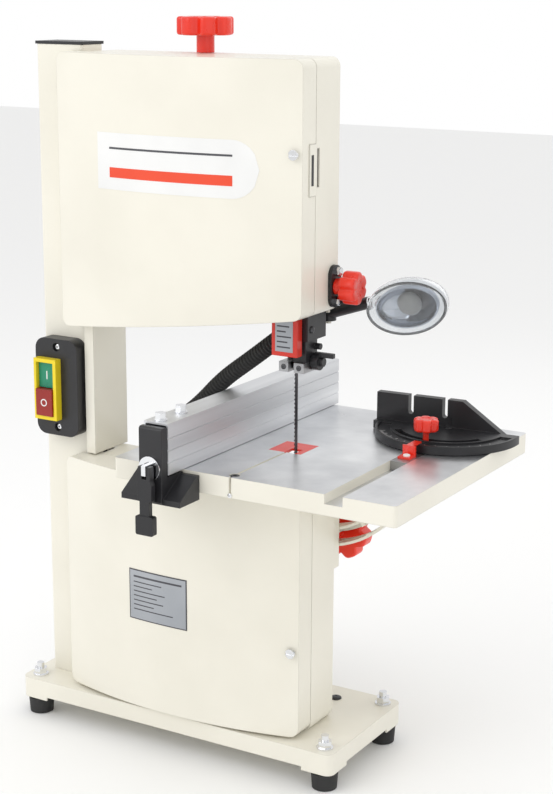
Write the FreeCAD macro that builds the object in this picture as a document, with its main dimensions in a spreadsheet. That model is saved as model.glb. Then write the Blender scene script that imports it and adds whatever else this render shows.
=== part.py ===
import FreeCAD, Part
import math
import os
import re

import Sketcher

# Bench-top band saw, in millimetres: X to the right, Y to the back, Z up from the bench.
# Lengths along X and Y are measured from the base tray's front left corner.  Every object
# is then shifted by origin_x and origin_y, which puts the frame's origin on the bench
# under the middle of the whole saw.

Vec = FreeCAD.Vector
doc = FreeCAD.newDocument("band_saw")
sheet = doc.addObject("Spreadsheet::Sheet", "Dims")

DIMENSIONS = {
    # frame
    "origin_x": 249.5,
    "origin_y": 73.0,
    "sheet_steel": 2.0,
    "pin_fit": 0.06,
    "air_gap": 0.35,
    # base tray and feet
    "tray_width": 392.0,
    "tray_depth": 157.0,
    "tray_top": 42.0,
    "tray_skirt": 23.0,
    "tray_corner": 9.0,
    "foot_inset": 15.0,
    "foot_radius": 14.0,
    "foot_height": 17.0,
    "stud_radius": 4.0,
    # column tube
    "column_left": 15.6,
    "column_right": 74.5,
    "column_front": 36.9,
    "column_back": 73.0,
    "column_top": 729.0,
    "tube_wall": 2.5,
    "cap_height": 3.0,
    # wheel cases and doors
    "case_left": 59.0,
    "case_right": 346.0,
    "seam_y": 40.0,
    "pan_back": 88.0,
    "door_edge_y": 14.4,
    "door_bow": 20.5,
    "case_corner": 9.0,
    "upper_top": 723.0,
    "upper_low_left": 442.0,
    "upper_low_right": 477.0,
    "lower_low": 45.0,
    "lower_top_left": 301.6,
    "lower_top_right": 298.0,
    "hinge_x": 65.0,
    "hinge_y": 24.0,
    "hinge_pin_radius": 2.5,
    "lug_height": 12.0,
    "upper_hinge_low": 480.0,
    "upper_hinge_high": 684.0,
    "lower_hinge_low": 80.0,
    "lower_hinge_high": 250.0,
    "lock_x": 339.0,
    "upper_lock_z": 635.0,
    "lower_lock_z": 137.0,
    "lock_radius": 3.0,
    # wheels, band and drive
    "wheel_x": 198.0,
    "wheel_y": 56.0,
    "wheel_low_z": 173.0,
    "wheel_high_z": 598.0,
    "wheel_radius": 118.0,
    "tyre_thick": 3.0,
    "wheel_width": 18.0,
    "rim_thick": 13.0,
    "web_thick": 6.0,
    "hub_radius": 20.0,
    "axle_radius": 6.0,
    "shaft_radius": 7.5,
    "band_thick": 0.65,
    "band_width": 6.35,
    "pulley_radius": 32.0,
    "motor_pulley_radius": 28.0,
    "belt_thick": 3.0,
    "belt_front": 69.0,
    "belt_width": 10.0,
    "motor_x": 130.0,
    "motor_z": 106.0,
    "motor_radius": 50.0,
    "motor_length": 112.0,
    "motor_shaft_radius": 6.0,
    # upper wheel carriage, tension and tracking
    "carriage_half": 18.0,
    "screw_y": 76.0,
    "screw_radius": 4.0,
    "tracking_z": 574.0,
    "tension_head_low": 740.4,
    "tension_head_high": 758.4,
    "tension_head_radius": 29.0,
    "tension_hub_radius": 9.0,
    # guide post and upper guide
    "post_left": 319.0,
    "post_right": 333.0,
    "post_front": 61.5,
    "rack_pitch_y": 68.0,
    "post_low": 479.0,
    "post_high": 600.0,
    "height_axis_z": 502.0,
    "gear_module": 1.0,
    "pinion_teeth": 16.0,
    "guard_left": 301.5,
    "guard_right": 330.5,
    "guard_front": 33.0,
    "guard_low": 435.5,
    "guard_high": 552.0,
    "block_low": 418.0,
    "block_high": 428.0,
    "race_y": 64.7,
    "race_z": 421.5,
    "race_pin_radius": 2.0,
    # table
    "table_left": 174.4,
    "table_right": 487.5,
    "table_front": -57.6,
    "table_back": 244.2,
    "table_top": 334.0,
    "slit_x": 310.4,
    "table_rim": 20.7,
    "rim_wall": 5.0,
    "table_plate": 6.0,
    "slot_x": 423.0,
    "slot_width": 19.0,
    "slot_depth": 9.5,
    "insert_side": 37.0,
    "insert_thick": 2.5,
    "insert_x": 309.0,
    "insert_y": 65.5,
    "tilt_x": 316.0,
    "trunnion_radius": 112.0,
    "trunnion_inner": 92.0,
    "trunnion_front": 100.0,
    "trunnion_depth": 18.0,
    "clamp_radius": 104.0,
    "clamp_angle": 8.0,
    # rip fence
    "fence_left": 230.0,
    "fence_right": 258.0,
    "fence_front": -84.0,
    "fence_back": 252.0,
    "fence_height": 51.0,
    "fence_wall": 2.2,
    "bracket_left": 208.0,
    "bracket_right": 276.0,
    "bracket_low": 306.5,
    "lever_x": 244.0,
    "lever_y": -101.0,
    "lever_z": 342.0,
    # mitre gauge
    "mitre_y": 188.0,
    "mitre_radius": 76.0,
    "mitre_lock": 53.0,
    "mitre_turn": 4.0,
    "bar_front": 75.0,
    "bar_back": 246.0,
    # lamp
    "lamp_x": 326.0,
    "lamp_y": 104.0,
    "lamp_z": 470.0,
    # switch
    "switch_left": 17.0,
    "switch_right": 71.5,
    "switch_low": 320.0,
    "switch_high": 425.0,
    "switch_depth": 17.0,
    # dust hose
    "hose_radius": 9.0,
    "outlet_bore": 17.5,
}

for row, (alias, value) in enumerate(DIMENSIONS.items(), start=1):
    sheet.set(f"A{row}", alias)
    sheet.set(f"B{row}", str(value))
    sheet.setAlias(f"B{row}", alias)
doc.recompute()


# ---------------------------------------------------------------- small helpers

AXES = {"x": Vec(1, 0, 0), "y": Vec(0, 1, 0), "z": Vec(0, 0, 1)}
UP = Vec(0, 0, 1)
PARTS = []


def formula(value):
    """The value as an expression in which each sheet alias is written Dims.alias."""
    def qualify(word):
        name = word.group()
        return "Dims." + name if name in DIMENSIONS else name
    return re.sub(r"[a-z][a-z_0-9]*", qualify, str(value))


def num(value):
    """The number that an expression of sheet aliases has now."""
    return float(sheet.evalExpression(formula(value)))


def bind(obj, prop, value):
    obj.setExpression(prop, formula(value))


def place(obj, x, y, z, rotation=None):
    """Put an object at x, y, z, measured from the tray's corner."""
    if rotation is not None:
        obj.Placement = FreeCAD.Placement(Vec(0, 0, 0), rotation)
    bind(obj, "Placement.Base.x", f"({x}) - origin_x")
    bind(obj, "Placement.Base.y", f"({y}) - origin_y")
    bind(obj, "Placement.Base.z", z)


def block(name, x_span, y_span, z_span):
    """A box given by its low and high place along each axis."""
    solid = doc.addObject("Part::Box", name)
    for prop, (low, high) in zip(("Length", "Width", "Height"), (x_span, y_span, z_span)):
        bind(solid, prop, f"({high}) - ({low})")
    place(solid, x_span[0], y_span[0], z_span[0])
    return solid


def rod(name, axis, start, radius, length):
    """A cylinder from the start point along +x, +y or +z."""
    solid = doc.addObject("Part::Cylinder", name)
    bind(solid, "Radius", radius)
    bind(solid, "Height", length)
    place(solid, *start, rotation=FreeCAD.Rotation(UP, AXES[axis]))
    return solid


def cone(name, axis, start, radius, end_radius, length):
    solid = doc.addObject("Part::Cone", name)
    bind(solid, "Radius1", radius)
    bind(solid, "Radius2", end_radius)
    bind(solid, "Height", length)
    place(solid, *start, rotation=FreeCAD.Rotation(UP, AXES[axis]))
    return solid


def hexagon(name, axis, start, across, length):
    solid = doc.addObject("Part::Prism", name)
    solid.Polygon = 6
    bind(solid, "Circumradius", f"({across}) / 2 / cos(30)")
    bind(solid, "Height", length)
    place(solid, *start, rotation=FreeCAD.Rotation(UP, AXES[axis]))
    return solid


def fuse(name, *solids):
    joined = doc.addObject("Part::MultiFuse", name)
    joined.Shapes = list(solids)
    joined.Refine = True
    return joined


def cut(name, base, *tools):
    tool = tools[0] if len(tools) == 1 else fuse(name + "_tools", *tools)
    result = doc.addObject("Part::Cut", name)
    result.Base = base
    result.Tool = tool
    return result


def common(name, *solids):
    shared = doc.addObject("Part::MultiCommon", name)
    shared.Shapes = list(solids)
    return shared


def group(name, *solids):
    """Separate solids kept in one sub-part."""
    together = doc.addObject("Part::Compound", name)
    together.Links = list(solids)
    return together


def edges_along(shape, direction):
    """Numbers of the straight edges parallel to a direction."""
    found = []
    for number, edge in enumerate(shape.Edges, start=1):
        if isinstance(edge.Curve, Part.Line) and abs(edge.tangentAt(edge.FirstParameter).dot(direction)) > 0.999:
            found.append(number)
    return found


def rounded(name, base, radius, axis):
    """The base with its edges along one axis rounded."""
    doc.recompute()
    result = doc.addObject("Part::Fillet", name)
    result.Base = base
    size = num(radius)
    result.Edges = [(number, size, size) for number in edges_along(base.Shape, AXES[axis])]
    return result


def origin_plane(body, role):
    return next(item for item in body.Origin.OriginFeatures if item.Role == role)


def outline_sketch(body, name, role, points):
    """A closed outline of straight edges, each corner held by the sheet."""
    sketch = body.newObject("Sketcher::SketchObject", name)
    sketch.AttachmentSupport = [(origin_plane(body, role), "")]
    sketch.MapMode = "FlatFace"
    corners = [Vec(num(u), num(v), 0) for u, v in points]
    count = len(corners)
    for index in range(count):
        sketch.addGeometry(Part.LineSegment(corners[index], corners[(index + 1) % count]), False)
    for index in range(count):
        sketch.addConstraint(Sketcher.Constraint("Coincident", index, 2, (index + 1) % count, 1))
    for index, (u, v) in enumerate(points):
        for kind, value, size in (("DistanceX", u, corners[index].x), ("DistanceY", v, corners[index].y)):
            number = sketch.addConstraint(Sketcher.Constraint(kind, -1, 1, index, 1, size))
            sketch.setExpression(f"Constraints[{number}]", formula(value))
    return sketch


PLANES = {"XY": ("XY_Plane", "z", False), "XZ": ("XZ_Plane", "y", True), "YZ": ("YZ_Plane", "x", False)}


def prism(name, plane, points, span, corner=None, face_round=None):
    """A body padded from an outline, along the axis that the plane leaves out.

    corner rounds the edges along the pad; face_round then rounds the edges of its far face."""
    role, axis, backwards = PLANES[plane]
    body = doc.addObject("PartDesign::Body", name)
    sketch = outline_sketch(body, name + "_outline", role, points)
    pad = body.newObject("PartDesign::Pad", name + "_pad")
    pad.Profile = sketch
    pad.Reversed = backwards
    bind(pad, "Length", f"({span[1]}) - ({span[0]})")
    start = {"x": 0, "y": 0, "z": 0}
    start[axis] = span[0]
    place(body, start["x"], start["y"], start["z"])
    feature = pad
    if corner is not None:
        doc.recompute()
        feature = body.newObject("PartDesign::Fillet", name + "_corners")
        feature.Base = (pad, [f"Edge{n}" for n in edges_along(pad.Shape, AXES[axis])])
        bind(feature, "Radius", corner)
    if face_round is not None:
        doc.recompute()
        depth = num(f"({span[1]}) - ({span[0]})")
        picked = []
        for number, edge in enumerate(feature.Shape.Edges, start=1):
            box = edge.BoundBox
            low, high = {"x": (box.XMin, box.XMax), "y": (box.YMin, box.YMax), "z": (box.ZMin, box.ZMax)}[axis]
            if abs(low - depth) < 1e-4 and abs(high - depth) < 1e-4:
                picked.append(f"Edge{number}")
        rim = body.newObject("PartDesign::Fillet", name + "_rim")
        rim.Base = (feature, picked)
        bind(rim, "Radius", face_round)
        feature = rim
    body.Tip = feature
    return body


def turned(name, axis, start, profile):
    """A body of revolution: profile points are (radius, distance along the axis)."""
    body = doc.addObject("PartDesign::Body", name)
    sketch = outline_sketch(body, name + "_profile", "XZ_Plane", profile)
    turn = body.newObject("PartDesign::Revolution", name + "_turn")
    turn.Profile = sketch
    turn.ReferenceAxis = (sketch, ["V_Axis"])
    turn.Angle = 360
    body.Tip = turn
    place(body, *start, rotation=FreeCAD.Rotation(UP, AXES[axis]))
    return body


def shaped(name, shape):
    """A sub-part whose shape is worked out here, in lengths from the tray's corner."""
    feature = doc.addObject("Part::Feature", name)
    feature.Shape = shape
    feature.Placement = FreeCAD.Placement(Vec(-num("origin_x"), -num("origin_y"), 0), FreeCAD.Rotation())
    return feature


def part(name, solid):
    """Register a finished sub-part under its own label."""
    solid.Label = name
    PARTS.append(solid)
    return solid


def lobed(name, axis, centre, radius, lobes, notch_radius, thickness):
    """A star grip: a disc with round notches between its lobes."""
    disc = rod(name + "_disc", axis, centre, radius, thickness)
    notches = []
    for index in range(lobes):
        angle = 360 * (index + 0.5) / lobes
        reach = f"(({radius}) + 0.55 * ({notch_radius}))"
        first = f"{reach} * cos({angle})"
        second = f"{reach} * sin({angle})"
        x, y, z = centre
        start = {
            "x": (f"({x}) - 1", f"({y}) + {first}", f"({z}) + {second}"),
            "y": (f"({x}) + {first}", f"({y}) - 1", f"({z}) + {second}"),
            "z": (f"({x}) + {first}", f"({y}) + {second}", f"({z}) - 1"),
        }[axis]
        notches.append(rod(f"{name}_notch_{index}", axis, start, notch_radius, f"({thickness}) + 2"))
    return cut(name + "_star", disc, *notches)


# ---------------------------------------------------------------- base tray and feet

FOOT_X = ("foot_inset", "tray_width - foot_inset")
FOOT_Y = ("foot_inset", "tray_depth - foot_inset")
FEET = [(x, y) for x in FOOT_X for y in FOOT_Y]


def build_base():
    low = "tray_top - tray_skirt"
    outer = rounded(
        "tray_outer",
        block("tray_block", (0, "tray_width"), (0, "tray_depth"), (low, "tray_top")),
        "tray_corner", "z")
    inner = rounded(
        "tray_inner",
        block("tray_hollow", ("sheet_steel", "tray_width - sheet_steel"),
              ("sheet_steel", "tray_depth - sheet_steel"), (f"{low} - 1", "tray_top - sheet_steel")),
        "tray_corner - sheet_steel", "z")
    # the skirt is lifted a little between the feet, on all four sides
    lift = 4
    end = 34
    raised = [
        block("tray_lift_x", (end, f"tray_width - {end}"), (-1, "tray_depth + 1"), (f"{low} - 1", f"{low} + {lift}")),
        block("tray_lift_y", (-1, "tray_width + 1"), (end, f"tray_depth - {end}"), (f"{low} - 1", f"{low} + {lift}")),
    ]
    holes = [
        rod(f"tray_hole_{i}", "z", (x, y, "tray_top - 5"), "stud_radius + 0.4", 10)
        for i, (x, y) in enumerate(FEET)]
    part("base_tray", cut("tray", outer, inner, *raised, *holes))

    feet = []
    bolts = []
    for i, (x, y) in enumerate(FEET):
        disc = cone(f"foot_disc_{i}", "z", (x, y, 0), "foot_radius - 1.2", "foot_radius", "foot_height")
        stem = rod(f"foot_stem_{i}", "z", (x, y, "foot_height"), "foot_radius - 3",
                   "tray_top - sheet_steel - foot_height")
        bore = rod(f"foot_bore_{i}", "z", (x, y, 8), "stud_radius + 0.05", 60)
        feet.append(cut(f"foot_{i}", fuse(f"foot_body_{i}", disc, stem), bore))
        stud = rod(f"stud_{i}", "z", (x, y, 8), "stud_radius", "tray_top + 14 - 8")
        washer = cut(
            f"washer_{i}",
            rod(f"washer_disc_{i}", "z", (x, y, "tray_top"), 8.5, 1.6),
            rod(f"washer_bore_{i}", "z", (x, y, "tray_top - 1"), "stud_radius", 5))
        nut = cut(
            f"nut_{i}",
            hexagon(f"nut_hex_{i}", "z", (x, y, "tray_top + 1.6"), 13, 6.5),
            rod(f"nut_bore_{i}", "z", (x, y, "tray_top"), "stud_radius", 12))
        bolts += [stud, washer, nut]
    part("rubber_feet", group("feet", *feet))
    part("foot_bolts", group("bolts", *bolts))


# ---------------------------------------------------------------- column

LUG_LEVELS = ("upper_hinge_low", "upper_hinge_high", "lower_hinge_low", "lower_hinge_high")


def build_column():
    outer = rounded(
        "column_outer",
        block("column_block", ("column_left", "column_right"), ("column_front", "column_back"),
              ("tray_top", "column_top")), 4, "z")
    inner = block(
        "column_hollow", ("column_left + tube_wall", "column_right - tube_wall"),
        ("column_front + tube_wall", "column_back - tube_wall"), ("tray_top - 1", "column_top + 1"))
    tube = cut("column_shell", outer, inner)
    lugs = []
    holes = []
    for i, level in enumerate(LUG_LEVELS):
        lugs.append(block(f"lug_{i}", ("hinge_x - 3.4", "hinge_x + 3.4"), ("hinge_y", "column_front + 0.5"),
                          (level, f"{level} + lug_height")))
        lugs.append(rod(f"lug_eye_{i}", "z", ("hinge_x", "hinge_y", level), 3.4, "lug_height"))
        holes.append(rod(f"lug_hole_{i}", "z", ("hinge_x", "hinge_y", f"{level} - 1"), "hinge_pin_radius",
                         "lug_height + 2"))
    part("column_tube", cut("column", fuse("column_lugs", tube, *lugs), *holes))

    plate = block("cap_plate", ("column_left - 0.4", "column_right + 0.4"), ("column_front - 0.4", "column_back + 0.4"),
                  ("column_top", "column_top + cap_height"))
    plug = block("cap_plug", ("column_left + tube_wall", "column_right - tube_wall"),
                 ("column_front + tube_wall", "column_back - tube_wall"), ("column_top - 12", "column_top"))
    part("column_cap", fuse("cap", plate, plug))

    pins = [
        rod(f"pin_{i}", "z", ("hinge_x", "hinge_y", f"{level} - 6"), "hinge_pin_radius", "lug_height + 12")
        for i, level in enumerate(LUG_LEVELS)]
    part("hinge_pins", group("pins", *pins))

    guard_low = "lower_top_left + 1.4"
    guard_high = "upper_low_left - 1"
    shell = block("return_block", ("column_right", 86), (30, 88), (guard_low, guard_high))
    hollow = block("return_hollow", ("column_right - 1", 84.5), (31.5, 86.5),
                   (f"{guard_low} - 1", f"{guard_high} + 1"))
    part("return_guard", cut("return", shell, hollow))


# ---------------------------------------------------------------- wheel cases

BOW_RADIUS = "(((case_right - case_left) / 2) ^ 2 + door_bow ^ 2) / (2 * door_bow)"
CASE_MIDDLE = "(case_left + case_right) / 2"
UPPER_SLOPE = "((upper_low_right - upper_low_left) / (case_right - case_left))"
LOWER_SLOPE = "((lower_top_right - lower_top_left) / (case_right - case_left))"


def case_corners(side, left, low_left, low_right, top_left, top_right):
    """The case's four corners, drawn in by side, with a sloping bottom or top edge."""
    right = f"case_right - {side}"
    return [
        (f"{left} + {side}", f"({low_left}) + {side}"),
        (right, f"({low_right}) + {side}"),
        (right, f"({top_right}) - {side}"),
        (f"{left} + {side}", f"({top_left}) - {side}"),
    ]


UPPER_AT_PAN = f"upper_low_left + {UPPER_SLOPE} * (column_right - case_left)"
LOWER_AT_PAN = f"lower_top_left + {LOWER_SLOPE} * (column_right - case_left)"


def pan(name, heights):
    outer = prism(name + "_outer", "XZ", case_corners(0, "column_right", *heights), ("seam_y", "pan_back"),
                  corner="case_corner", face_round=3)
    inner = prism(name + "_inner", "XZ", case_corners("sheet_steel", "column_right", *heights),
                  ("seam_y - 1", "pan_back - sheet_steel"), corner="case_corner - sheet_steel")
    return cut(name + "_shell", outer, inner)


def build_upper_pan():
    shell = pan("upper_pan", (UPPER_AT_PAN, "upper_low_right", "upper_top", "upper_top"))
    inside_back = "pan_back - sheet_steel"
    rails = [
        block("rail_left", ("wheel_x - carriage_half - 6", "wheel_x - carriage_half - 0.3"),
              (80, f"{inside_back} + 0.5"), (540, 660)),
        block("rail_right", ("wheel_x + carriage_half + 0.3", "wheel_x + carriage_half + 6"),
              (80, f"{inside_back} + 0.5"), (540, 660)),
    ]
    cheeks = [
        block("cheek_left", ("post_left - 3", "post_left - 0.3"), (60.6, f"{inside_back} + 0.5"), (490, 522)),
        block("cheek_right", ("post_right + 0.3", "post_right + 4"), (60.6, f"{inside_back} + 0.5"), (490, 522)),
    ]
    openings = [
        # the band's two runs and the guide leave through the sloping floor
        block("upper_return_gap", (77, 86), (46, 66), (430, 460)),
        block("upper_guide_gap", (297, 341), (39, 84), (450, 486)),
        # tension screw, tracking screw's slot, height shaft, tracking window
        rod("tension_gap", "z", ("wheel_x", "screw_y", "upper_top - 10"), "screw_radius + 0.4", 20),
        block("tracking_gap", ("wheel_x - 4", "wheel_x + 4"), (80, 92), ("tracking_z - 20", "tracking_z + 6")),
        rod("height_gap", "x", (315, "rack_pitch_y + 8.1", "height_axis_z"), 4.4, 45),
        block("window_gap", ("case_right - 5", "case_right + 1"), (42.5, 47), (602, 639)),
    ]
    # foot, shelf and vertical pin that carry the lamp
    lamp_mount = [
        block("lamp_foot", ("lamp_x - 9", "lamp_x + 9"), ("pan_back - 0.5", "pan_back + 3"),
              ("lamp_z + 2", "lamp_z + 40")),
        block("lamp_shelf", ("lamp_x - 7", "lamp_x + 2"), ("pan_back", "lamp_y + 5"),
              ("lamp_z + 10.4", "lamp_z + 13.4")),
        rod("lamp_pin", "z", ("lamp_x", "lamp_y", "lamp_z - 12"), 3, 25),
    ]
    solid = fuse("upper_case_solid", shell, *rails, *cheeks, *lamp_mount)
    part("upper_pan", cut("upper_case", solid, *openings))


def build_lower_pan():
    shell = pan("lower_pan", ("tray_top", "tray_top", LOWER_AT_PAN, "lower_top_right"))
    openings = [
        block("lower_return_gap", (77, 86), (46, 66), (290, 310)),
        block("lower_band_gap", (308, 324), (46, 66), (275, 300)),
        rod("shaft_gap", "y", ("wheel_x", 80, "wheel_low_z"), 12, 20),
        rod("motor_gap", "y", ("motor_x", 80, "motor_z"), 11, 20),
        rod("dust_gap", "y", (92, 80, 173), 10, 20),
    ]
    part("lower_pan", cut("lower_case", shell, *openings))


def door(name, heights, lugs, lock_z, *extra_cuts):
    """A bowed door: a sheet skin with four turned-in walls and hinge ears on its left."""
    reach = ("door_edge_y - door_bow - 4", "seam_y - 0.7")
    face = prism(name + "_face", "XZ", case_corners(0, "case_left", *heights), reach, corner="case_corner")
    bow = rod(name + "_bow", "z", (CASE_MIDDLE, f"door_edge_y - door_bow + {BOW_RADIUS}", 0), BOW_RADIUS, 900)
    hollow_face = prism(name + "_hollow_face", "XZ", case_corners("sheet_steel", "case_left", *heights),
                        ("door_edge_y - door_bow - 5", "seam_y + 2"), corner="case_corner - sheet_steel")
    hollow_bow = rod(name + "_hollow_bow", "z", (CASE_MIDDLE, f"door_edge_y - door_bow + {BOW_RADIUS}", -1),
                     f"{BOW_RADIUS} - sheet_steel", 902)
    shell = cut(name + "_skin", common(name + "_outer", face, bow), common(name + "_hollow", hollow_face, hollow_bow))
    ears = []
    gaps = [
        # room in front of the column tube
        block(name + "_step", ("case_left - 1", "column_right + 1"), ("column_front - 2.4", "seam_y + 1"), (40, 730)),
        rod(name + "_lock_hole", "y", ("lock_x", 0, lock_z), "lock_radius + pin_fit", 30),
    ]
    for i, level in enumerate(lugs):
        top = f"{level} + lug_height"
        for side, low, high in (("above", f"{top} + 0.4", f"{top} + 4.4"), ("below", f"{level} - 4.4", f"{level} - 0.4")):
            ears.append(block(f"{name}_ear_{side}_{i}", ("case_left + 0.5", "hinge_x + 6"),
                              ("hinge_y - 7.5", "hinge_y + 5"), (low, high)))
        gaps.append(rod(f"{name}_ear_hole_{i}", "z", ("hinge_x", "hinge_y", f"{level} - 8"),
                        "hinge_pin_radius + pin_fit", "lug_height + 16"))
        gaps.append(block(f"{name}_lug_gap_{i}", ("case_left - 1", "case_left + 3"), ("hinge_y - 8", "seam_y + 1"),
                          (f"{level} - 0.4", f"{top} + 0.4")))
    return cut(name + "_panel", fuse(name + "_eared", shell, *ears), *gaps, *extra_cuts)


def door_lock(name, z):
    """A slotted quarter-turn screw through the door, with its tongue inside."""
    head = rod(name + "_head", "y", ("lock_x", 7.9, z), 5.0, 2.4)
    stem = rod(name + "_stem", "y", ("lock_x", 7.9, z), "lock_radius", 25)
    tongue = block(name + "_tongue", ("lock_x - 3", "lock_x + 3"), (31, 33.6), (f"{z} - 14", f"{z} + 4"))
    slot = block(name + "_slot", ("lock_x - 7", "lock_x + 7"), (7, 9.1), (f"{z} - 0.8", f"{z} + 0.8"))
    return cut(name + "_screw", fuse(name + "_turned", head, stem, tongue), slot)


def build_doors():
    guard_notch = block("guard_notch", (298, 339), (29, "seam_y + 1"), (460, 490))
    upper = door("upper_door", ("upper_low_left", "upper_low_right", "upper_top", "upper_top"),
                 LUG_LEVELS[:2], "upper_lock_z", guard_notch)
    part("upper_door", upper)
    lower = door("lower_door", ("lower_low", "lower_low", "lower_top_left", "lower_top_right"),
                 LUG_LEVELS[2:], "lower_lock_z")
    part("lower_door", lower)
    part("upper_door_lock", door_lock("upper_lock", "upper_lock_z"))
    part("lower_door_lock", door_lock("lower_lock", "lower_lock_z"))


# ---------------------------------------------------------------- wheels, band and drive

WHEEL_FRONT = "wheel_y - wheel_width / 2"
RIM_RADIUS = "wheel_radius - tyre_thick"


def wheel(name, z, bore, back_profile):
    """A spoked cast wheel with its axis along Y; back_profile closes the hub behind."""
    half_web = "web_thick / 2"
    middle = "wheel_width / 2"
    profile = [
        (bore, 0),
        ("hub_radius", 0),
        ("hub_radius", f"{middle} - {half_web}"),
        (f"{RIM_RADIUS} - rim_thick", f"{middle} - {half_web}"),
        (f"{RIM_RADIUS} - rim_thick", 0),
        (RIM_RADIUS, 0),
        (RIM_RADIUS, "wheel_width"),
        (f"{RIM_RADIUS} - rim_thick", "wheel_width"),
        (f"{RIM_RADIUS} - rim_thick", f"{middle} + {half_web}"),
    ] + back_profile
    body = turned(name + "_body", "y", ("wheel_x", WHEEL_FRONT, z), profile)
    windows = []
    count = 5
    for i in range(count):
        angle = 360 * i / count + 90
        windows.append(rod(f"{name}_window_{i}", "y", (f"wheel_x + 61 * cos({angle})", 40, f"{z} + 61 * sin({angle})"),
                           25, 24))
    return cut(name, body, *windows)


def build_wheels():
    upper_back = [
        ("hub_radius", "wheel_width / 2 + web_thick / 2"),
        ("hub_radius", "wheel_width"),
        ("axle_radius + pin_fit", "wheel_width"),
    ]
    part("upper_wheel", wheel("high_wheel", "wheel_high_z", "axle_radius + pin_fit", upper_back))
    # the lower wheel carries its belt pulley behind the spokes
    pulley_front = f"belt_front - 1 - ({WHEEL_FRONT})"
    pulley_back = f"belt_front + belt_width + 1 - ({WHEEL_FRONT})"
    lower_back = [
        ("hub_radius", "wheel_width / 2 + web_thick / 2"),
        ("hub_radius", pulley_front),
        ("pulley_radius + 3", pulley_front),
        ("pulley_radius", f"{pulley_front} + 1"),
        ("pulley_radius", f"{pulley_back} - 1"),
        ("pulley_radius + 3", pulley_back),
        ("shaft_radius", pulley_back),
    ]
    part("lower_wheel", wheel("low_wheel", "wheel_low_z", "shaft_radius", lower_back))
    for name, z in (("upper_tyre", "wheel_high_z"), ("lower_tyre", "wheel_low_z")):
        ring = turned(name + "_ring", "y", ("wheel_x", WHEEL_FRONT, z), [
            (RIM_RADIUS, 0), ("wheel_radius", 0.6), ("wheel_radius", "wheel_width - 0.6"), (RIM_RADIUS, "wheel_width")])
        part(name, ring)


def loop_between(first, first_radius, second, second_radius):
    """The closed wire of a belt round two circles in the XZ plane, at Y = 0."""
    start = Vec(first[0], 0, first[1])
    finish = Vec(second[0], 0, second[1])
    along = finish - start
    span = along.Length
    heading = math.atan2(along.z, along.x)
    lean = math.acos((first_radius - second_radius) / span)

    def on(centre, radius, angle):
        return centre + Vec(math.cos(angle), 0, math.sin(angle)) * radius

    a = on(start, first_radius, heading + lean)
    b = on(finish, second_radius, heading + lean)
    c = on(finish, second_radius, heading)
    d = on(finish, second_radius, heading - lean)
    e = on(start, first_radius, heading - lean)
    f = on(start, first_radius, heading + math.pi)
    edges = [
        Part.LineSegment(a, b).toShape(),
        Part.Arc(b, c, d).toShape(),
        Part.LineSegment(d, e).toShape(),
        Part.Arc(e, f, a).toShape(),
    ]
    return Part.Wire(Part.__sortEdges__(edges))


def loop_band(first, first_radius, second, second_radius, thickness, y_low, width):
    """A flat band of one thickness running round two pulleys."""
    outer = Part.Face(loop_between(first, first_radius + thickness, second, second_radius + thickness))
    inner = Part.Face(loop_between(first, first_radius, second, second_radius))
    ring = outer.cut(inner)
    ring.translate(Vec(0, y_low, 0))
    solid = ring.extrude(Vec(0, width, 0))
    return solid.Solids[0]


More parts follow.
